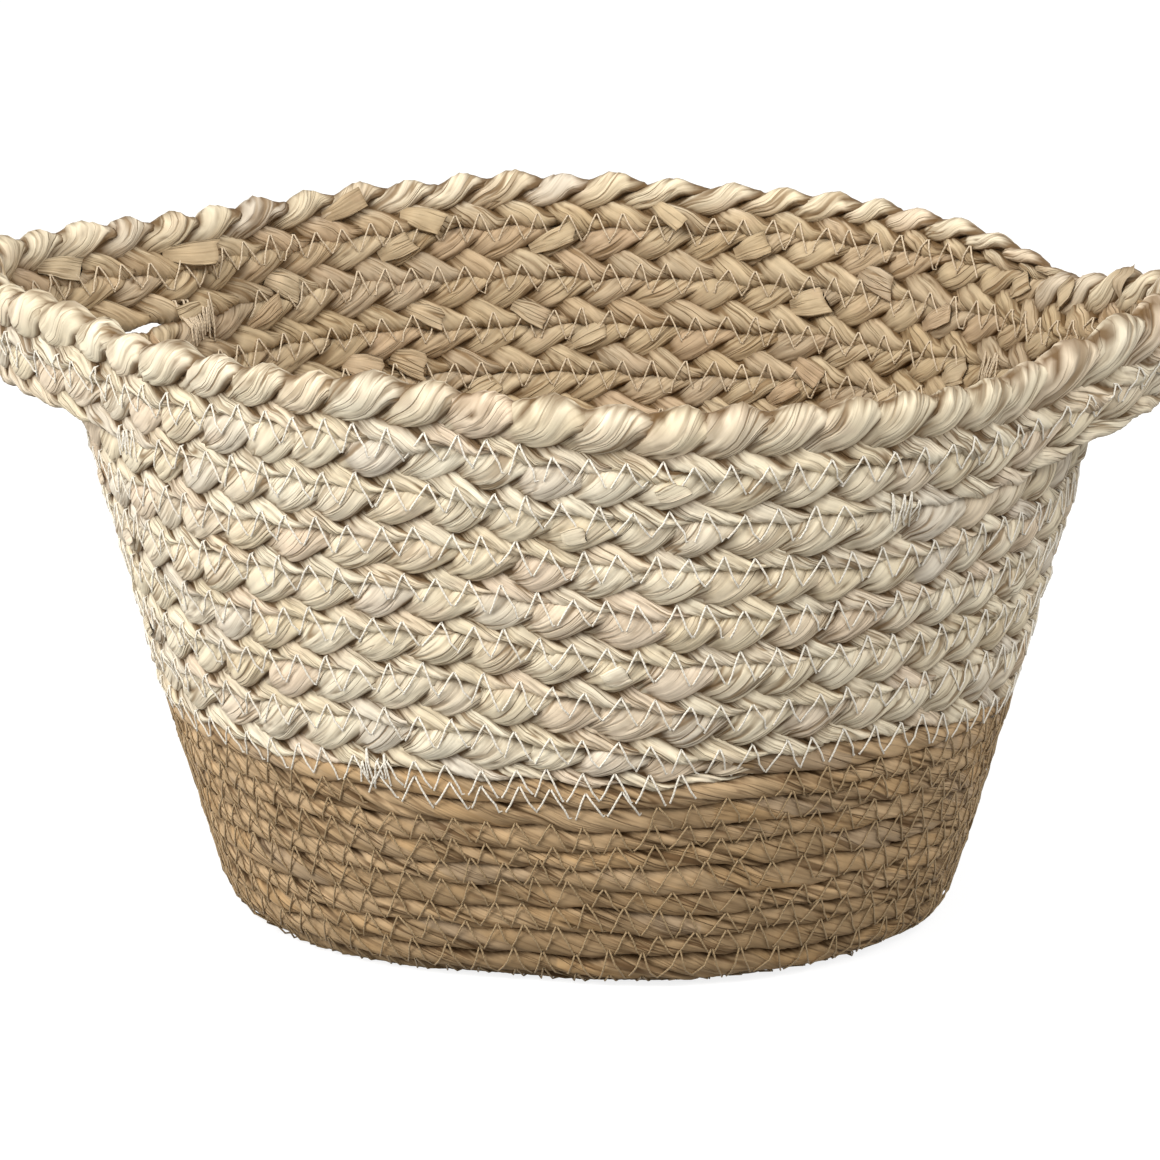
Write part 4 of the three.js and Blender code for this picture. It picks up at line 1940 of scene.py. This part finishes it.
@dataclass
class Basket:
    """The whole basket: braid, rope and stitching."""

    finishes: dict[Slot, Finish]
    braid_route: Route = field(init=False)
    rope_route: Route = field(init=False)
    braid_relief: Relief = field(init=False)
    rope_relief: Relief = field(init=False)

    def __post_init__(self) -> None:
        """Tabulate the two routes."""
        self.rope_route = Route(ROWS.floor_start, ROWS.rope_last, ROWS.rope_slant, ROWS.rope_width)
        self.braid_route = Route(ROWS.braid_first, ROWS.rim_end, ROWS.braid_slant, ROWS.braid_width)
        self.rope_relief = Relief(self.rope_route.length)
        self.braid_relief = Relief(self.braid_route.length)

    def build_braid(self) -> None:
        """Braid the upper wall and the rim, about a turn to a piece."""
        turn = WALL.stations
        names: Names = {f"upper_wall_braid_{k + 1}": (k * turn, (k + 1) * turn) for k in range(5)}
        names["upper_wall_braid_1"] = (ROWS.braid_first, turn)
        names["upper_wall_braid_6"] = (5 * turn, ROWS.rim_start)
        ends = np.linspace(ROWS.rim_start, ROWS.rim_end, 4)
        names |= {f"rim_braid_{k + 1}": (ends[k], ends[k + 1]) for k in range(3)}
        braid = HuskBraid(self.braid_route, self.braid_relief)
        made = braid.rows(names, self.finishes[Slot.CREAM_BRAID])
        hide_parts("upper_wall_braid")
        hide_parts("rim_braid")

    def build_rope(self) -> None:
        """Wind the floor and the lower wall."""
        floor_half = (ROWS.floor_start + ROWS.wall_start) / 2
        wall_half = ROWS.wall_start / 2
        names: Names = {
            "base_coil_inner": (ROWS.floor_start, floor_half),
            "base_coil_outer": (floor_half, ROWS.wall_start),
            "lower_wall_coil_1": (ROWS.wall_start, wall_half),
            "lower_wall_coil_2": (wall_half, ROWS.rope_last),
        }
        rope = HuskRope(self.rope_route, self.rope_relief)
        made = rope.rows(names, self.finishes[Slot.TAN_ROPE])
        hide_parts("base_coil")
        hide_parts("lower_wall_coil")

    def sew(self, name: str, stitch: ZigzagStitch, first: float, last: float, slot: Slot) -> None:
        """Sew one run of stitches on both faces of the wall.

        Args:
            name: Name of the run, which is also its node's if it has one.
            stitch: The stitch.
            first: Station where it starts.
            last: Station where it ends.
            slot: Slot of its thread.
        """
        for face in Face:
            skin = stitch.thread(first, last, face)
            piece = build_piece(f"{name}_{face.name.lower()}", [whole(skin)], self.finishes[slot])
            if face is Face.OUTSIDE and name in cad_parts:
                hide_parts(name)

    def build_threads(self) -> None:
        """Sew the rows together, and tack them where the ears leave the wall."""
        rope = Seam(self.rope_route, self.rope_relief, self.rope_route, self.rope_relief)
        border = Seam(self.braid_route, self.braid_relief, self.rope_route, self.rope_relief)
        braid = Seam(self.braid_route, self.braid_relief, self.braid_route, self.braid_relief)
        turn = WALL.stations
        floor_end = ROWS.wall_start
        even = (ZigzagStitch.rise, ZigzagStitch.fall)
        on_floor, low = (3.4, 3.4), (2.2, 5.8)
        cream, tan = Slot.CREAM_THREAD, Slot.TAN_THREAD
        runs = [
            ("floor_thread", rope, ROWS.floor_start + turn, floor_end, on_floor, tan),
            ("lower_wall_thread", rope, floor_end, -23.6, low, tan),
            ("cream_start_thread", rope, -23.6, -21.4, (5.8, 1.6), cream),
            ("last_rope_thread", rope, -21.4, -0.6, low, tan),
            ("border_thread", border, 0, turn, even, cream),
            ("upper_wall_thread", braid, turn, 136, even, cream),
            ("front_handle_thread", braid, 143, 148, even, cream),
            ("rim_thread", braid, 154, 184, even, cream),
        ]
        for number, (name, seam, first, last, (rise, fall), slot) in enumerate(runs):
            stitch = ZigzagStitch(seam, rise=rise, fall=fall, seed=70 + 7 * number)
            self.sew(name, stitch, first, last, slot)
        wide, dense = (2.1, 4.1, 0.13), (1.3, 5.0, 0.18)
        tacks = [
            ("right_back_tack", braid, 136.35, wide),
            ("right_front_tack", braid, 142.65, wide),
            ("left_front_tack", braid, 148.35, wide),
            ("left_back_tack", braid, 153.4, dense),
            ("border_knot", border, 2.5, wide),
        ]
        for number, (name, seam, middle, (pitch, rise, reach)) in enumerate(tacks):
            stitch = ZigzagStitch(seam, pitch, rise, rise, seed=170 + 7 * number, looseness=0.3)
            self.sew(name, stitch, middle - reach, middle + reach, cream)

    def build_ends(self) -> None:
        """Leave the cut ends of husk leaves sticking out of the braid."""
        ends = HuskEnds(HuskBraid(self.braid_route, self.braid_relief))
        groups = {
            "husk_ends_inside": ends.inside(),
            "husk_ends_outside": ends.outside(),
            "husk_flaps": ends.flaps(),
        }
        for name, tubes in groups.items():
            build_piece(name, tubes, self.finishes[Slot.CREAM_BRAID])


class Lamp(NamedTuple):
    """A soft square lamp: its name, place and side in metres, power in watts, and tone."""

    name: str
    place: Colour
    side: float
    power: float
    tone: Colour


@dataclass(frozen=True)
class Studio:
    """Pale floor, soft lights and the camera at the photograph's viewing angle."""

    distance: float = 1800
    elevation: float = math.radians(15.2)
    azimuth: float = math.radians(13)
    roll: float = math.radians(-0.3)
    pixels_per_mm: float = 3.52
    frame_pixels: float = 1160
    sensor: float = 36
    aim_right: float = -2.18
    aim_height: float = 91.4
    floor_glow: float = 0.83
    floor_half: float = 6.0
    floor_level: float = -0.0003
    floor_tone: float = 0.28
    sky_strength: float = 0.53
    lamp_aim: Colour = (0, 0, 0.08)
    lamps: tuple[Lamp, ...] = (
        Lamp("key_light", (-0.97, -1.6, 1.95), 1.3, 58, (1.0, 0.985, 0.955)),
        Lamp("fill_light", (1.4, -0.9, 1.7), 1.4, 28, (1.0, 1.0, 1.0)),
        Lamp("left_light", (-1.7, -0.8, 0.15), 0.7, 16, (0.93, 0.97, 1.0)),
    )

    def camera(self) -> None:
        """Place the camera so that the aim point is in the middle of the picture."""
        right = Vector((math.cos(self.azimuth), math.sin(self.azimuth), 0))
        aim = Vector((WALL.middle_x, WALL.middle_y, self.aim_height)) + right * self.aim_right
        level = math.cos(self.elevation)
        back = Vector((
            math.sin(self.azimuth) * level,
            -math.cos(self.azimuth) * level,
            math.sin(self.elevation),
        ))
        data = bpy.data.cameras.new("camera")
        data.sensor_width = self.sensor
        data.lens = self.sensor * self.pixels_per_mm * self.distance / self.frame_pixels
        data.clip_start = 0.05
        data.clip_end = 50
        camera = bpy.data.objects.new("camera", data)
        bpy.context.scene.collection.objects.link(camera)
        turn = (-back).to_track_quat("-Z", "Y").to_matrix().to_4x4() @ Matrix.Rotation(self.roll, 4, "Z")
        camera.matrix_world = Matrix.Translation((aim + back * self.distance) * MM) @ turn
        bpy.context.scene.camera = camera

    def hang(self, lamp: Lamp) -> None:
        """Add a lamp that looks at the basket.

        Args:
            lamp: The lamp.
        """
        data = bpy.data.lights.new(lamp.name, "AREA")
        data.size = lamp.side
        data.energy = lamp.power
        data.color = lamp.tone
        hung = bpy.data.objects.new(lamp.name, data)
        hung.location = lamp.place
        hung.rotation_mode = "QUATERNION"
        hung.rotation_quaternion = (Vector(self.lamp_aim) - Vector(lamp.place)).to_track_quat("-Z", "Y")
        bpy.context.scene.collection.objects.link(hung)

    def lights(self) -> None:
        """A large key light up on the left, weak ones at both sides, and an even pale sky."""
        for lamp in self.lamps:
            self.hang(lamp)
        world = bpy.data.worlds.new("sky")
        world.use_nodes = True
        bpy.context.scene.world = world
        book = NodeBook(world.node_tree)
        sky = world.node_tree.nodes["Background"]
        sky.inputs[0].default_value = (1, 1, 1, 1)
        sky.inputs[1].default_value = self.sky_strength
        shown = book.add("ShaderNodeBackground")
        shown.inputs[0].default_value = (1, 1, 1, 1)
        shown.inputs[1].default_value = 1
        self.seen_by_eye(book, sky.outputs[0], shown.outputs[0], world.node_tree.nodes["World Output"])

    def seen_by_eye(self, book: NodeBook, plain: Value, shown: Value, outlet: bpy.types.Node) -> None:
        """Show one surface to the camera, gloss and glass, and the plain one to all other light.

        Args:
            book: Node book of the material or the world.
            plain: Surface that lights the basket.
            shown: Surface that is seen.
            outlet: Output node that takes the choice.
        """
        path = book.add("ShaderNodeLightPath")
        seen = book.math("MAXIMUM", path.outputs["Is Camera Ray"], path.outputs["Is Glossy Ray"])
        seen = book.math("MAXIMUM", seen, path.outputs["Is Transmission Ray"])
        choose = book.add("ShaderNodeMixShader")
        book.feed(choose.inputs[0], seen)
        book.tree.links.new(plain, choose.inputs[1])
        book.tree.links.new(shown, choose.inputs[2])
        book.tree.links.new(choose.outputs[0], outlet.inputs["Surface"])

    def floor(self) -> None:
        """A wide white floor that takes the basket's shadow, and throws back less light than it shows."""
        mesh = bpy.data.meshes.new("studio_floor")
        sides = [(-1, -1), (1, -1), (1, 1), (-1, 1)]
        corners = [(x * self.floor_half, y * self.floor_half, self.floor_level) for x, y in sides]
        mesh.from_pydata(corners, [], [(0, 1, 2, 3)])
        made = bpy.data.materials.new("studio_floor")
        made.use_nodes = True
        made.node_tree.nodes.clear()
        book = NodeBook(made.node_tree)
        plain = book.add("ShaderNodeBsdfDiffuse")
        plain.inputs[0].default_value = (self.floor_tone, self.floor_tone, self.floor_tone, 1)
        bright = book.add("ShaderNodeEmission")
        bright.inputs[1].default_value = self.floor_glow
        shown = book.add("ShaderNodeAddShader")
        book.tree.links.new(plain.outputs[0], shown.inputs[0])
        book.tree.links.new(bright.outputs[0], shown.inputs[1])
        outlet = book.add("ShaderNodeOutputMaterial")
        self.seen_by_eye(book, plain.outputs[0], shown.outputs[0], outlet)
        mesh.materials.append(made)
        floor = bpy.data.objects.new("studio_floor", mesh)
        bpy.context.scene.collection.objects.link(floor)


def make_finishes() -> dict[Slot, Finish]:
    """Make the four finishes of the basket.

    Returns:
        The finish for each slot.
    """
    fibre, stain = fibre_group(), stain_group()
    # fold is the colour of the painted shade; inner is partly the inner side's browner husk and partly
    # painted shade.
    cream = HuskFinish(
        "cream_husk",
        pale=(0.95, 0.86, 0.67),
        deep=(0.84, 0.71, 0.49),
        warm=(0.84, 0.66, 0.50),
        ashen=(0.76, 0.68, 0.58),
        inner=(0.58, 0.5, 0.405),
        fold=(0.12, 0.064, 0.022),
        streak=(0.24, 0.15, 0.07),
    )
    tan = HuskFinish(
        "tan_husk",
        pale=(0.61, 0.43, 0.248),
        deep=(0.36, 0.24, 0.125),
        warm=(0.55, 0.35, 0.165),
        ashen=(0.44, 0.33, 0.22),
        inner=(0.85, 0.8, 0.75),
        fold=(0.06, 0.028, 0.007),
        streak=(0.11, 0.055, 0.02),
        grain=(0.8, 0.62, 1.0),
    )
    cream_thread = ThreadFinish("cream_thread", light=(0.92, 0.87, 0.78), dark=(0.76, 0.7, 0.58))
    tan_thread = ThreadFinish("tan_thread", light=(0.42, 0.3, 0.165), dark=(0.28, 0.19, 0.095))
    materials = {
        Slot.CREAM_BRAID: cream.material(fibre, stain),
        Slot.TAN_ROPE: tan.material(fibre, stain),
        Slot.CREAM_THREAD: cream_thread.material(),
        Slot.TAN_THREAD: tan_thread.material(),
    }
    return {slot: Finish(slot, material) for slot, material in materials.items()}


def main() -> None:
    """Build the basket and the studio."""
    logging.basicConfig(level=logging.INFO, format="%(message)s")
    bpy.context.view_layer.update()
    bpy.context.scene.view_settings.view_transform = "Standard"
    studio = Studio()
    studio.camera()
    studio.lights()
    studio.floor()
    basket = Basket(make_finishes())
    basket.build_rope()
    basket.build_braid()
    basket.build_threads()
    basket.build_ends()


if __name__ == "__main__":
    main()
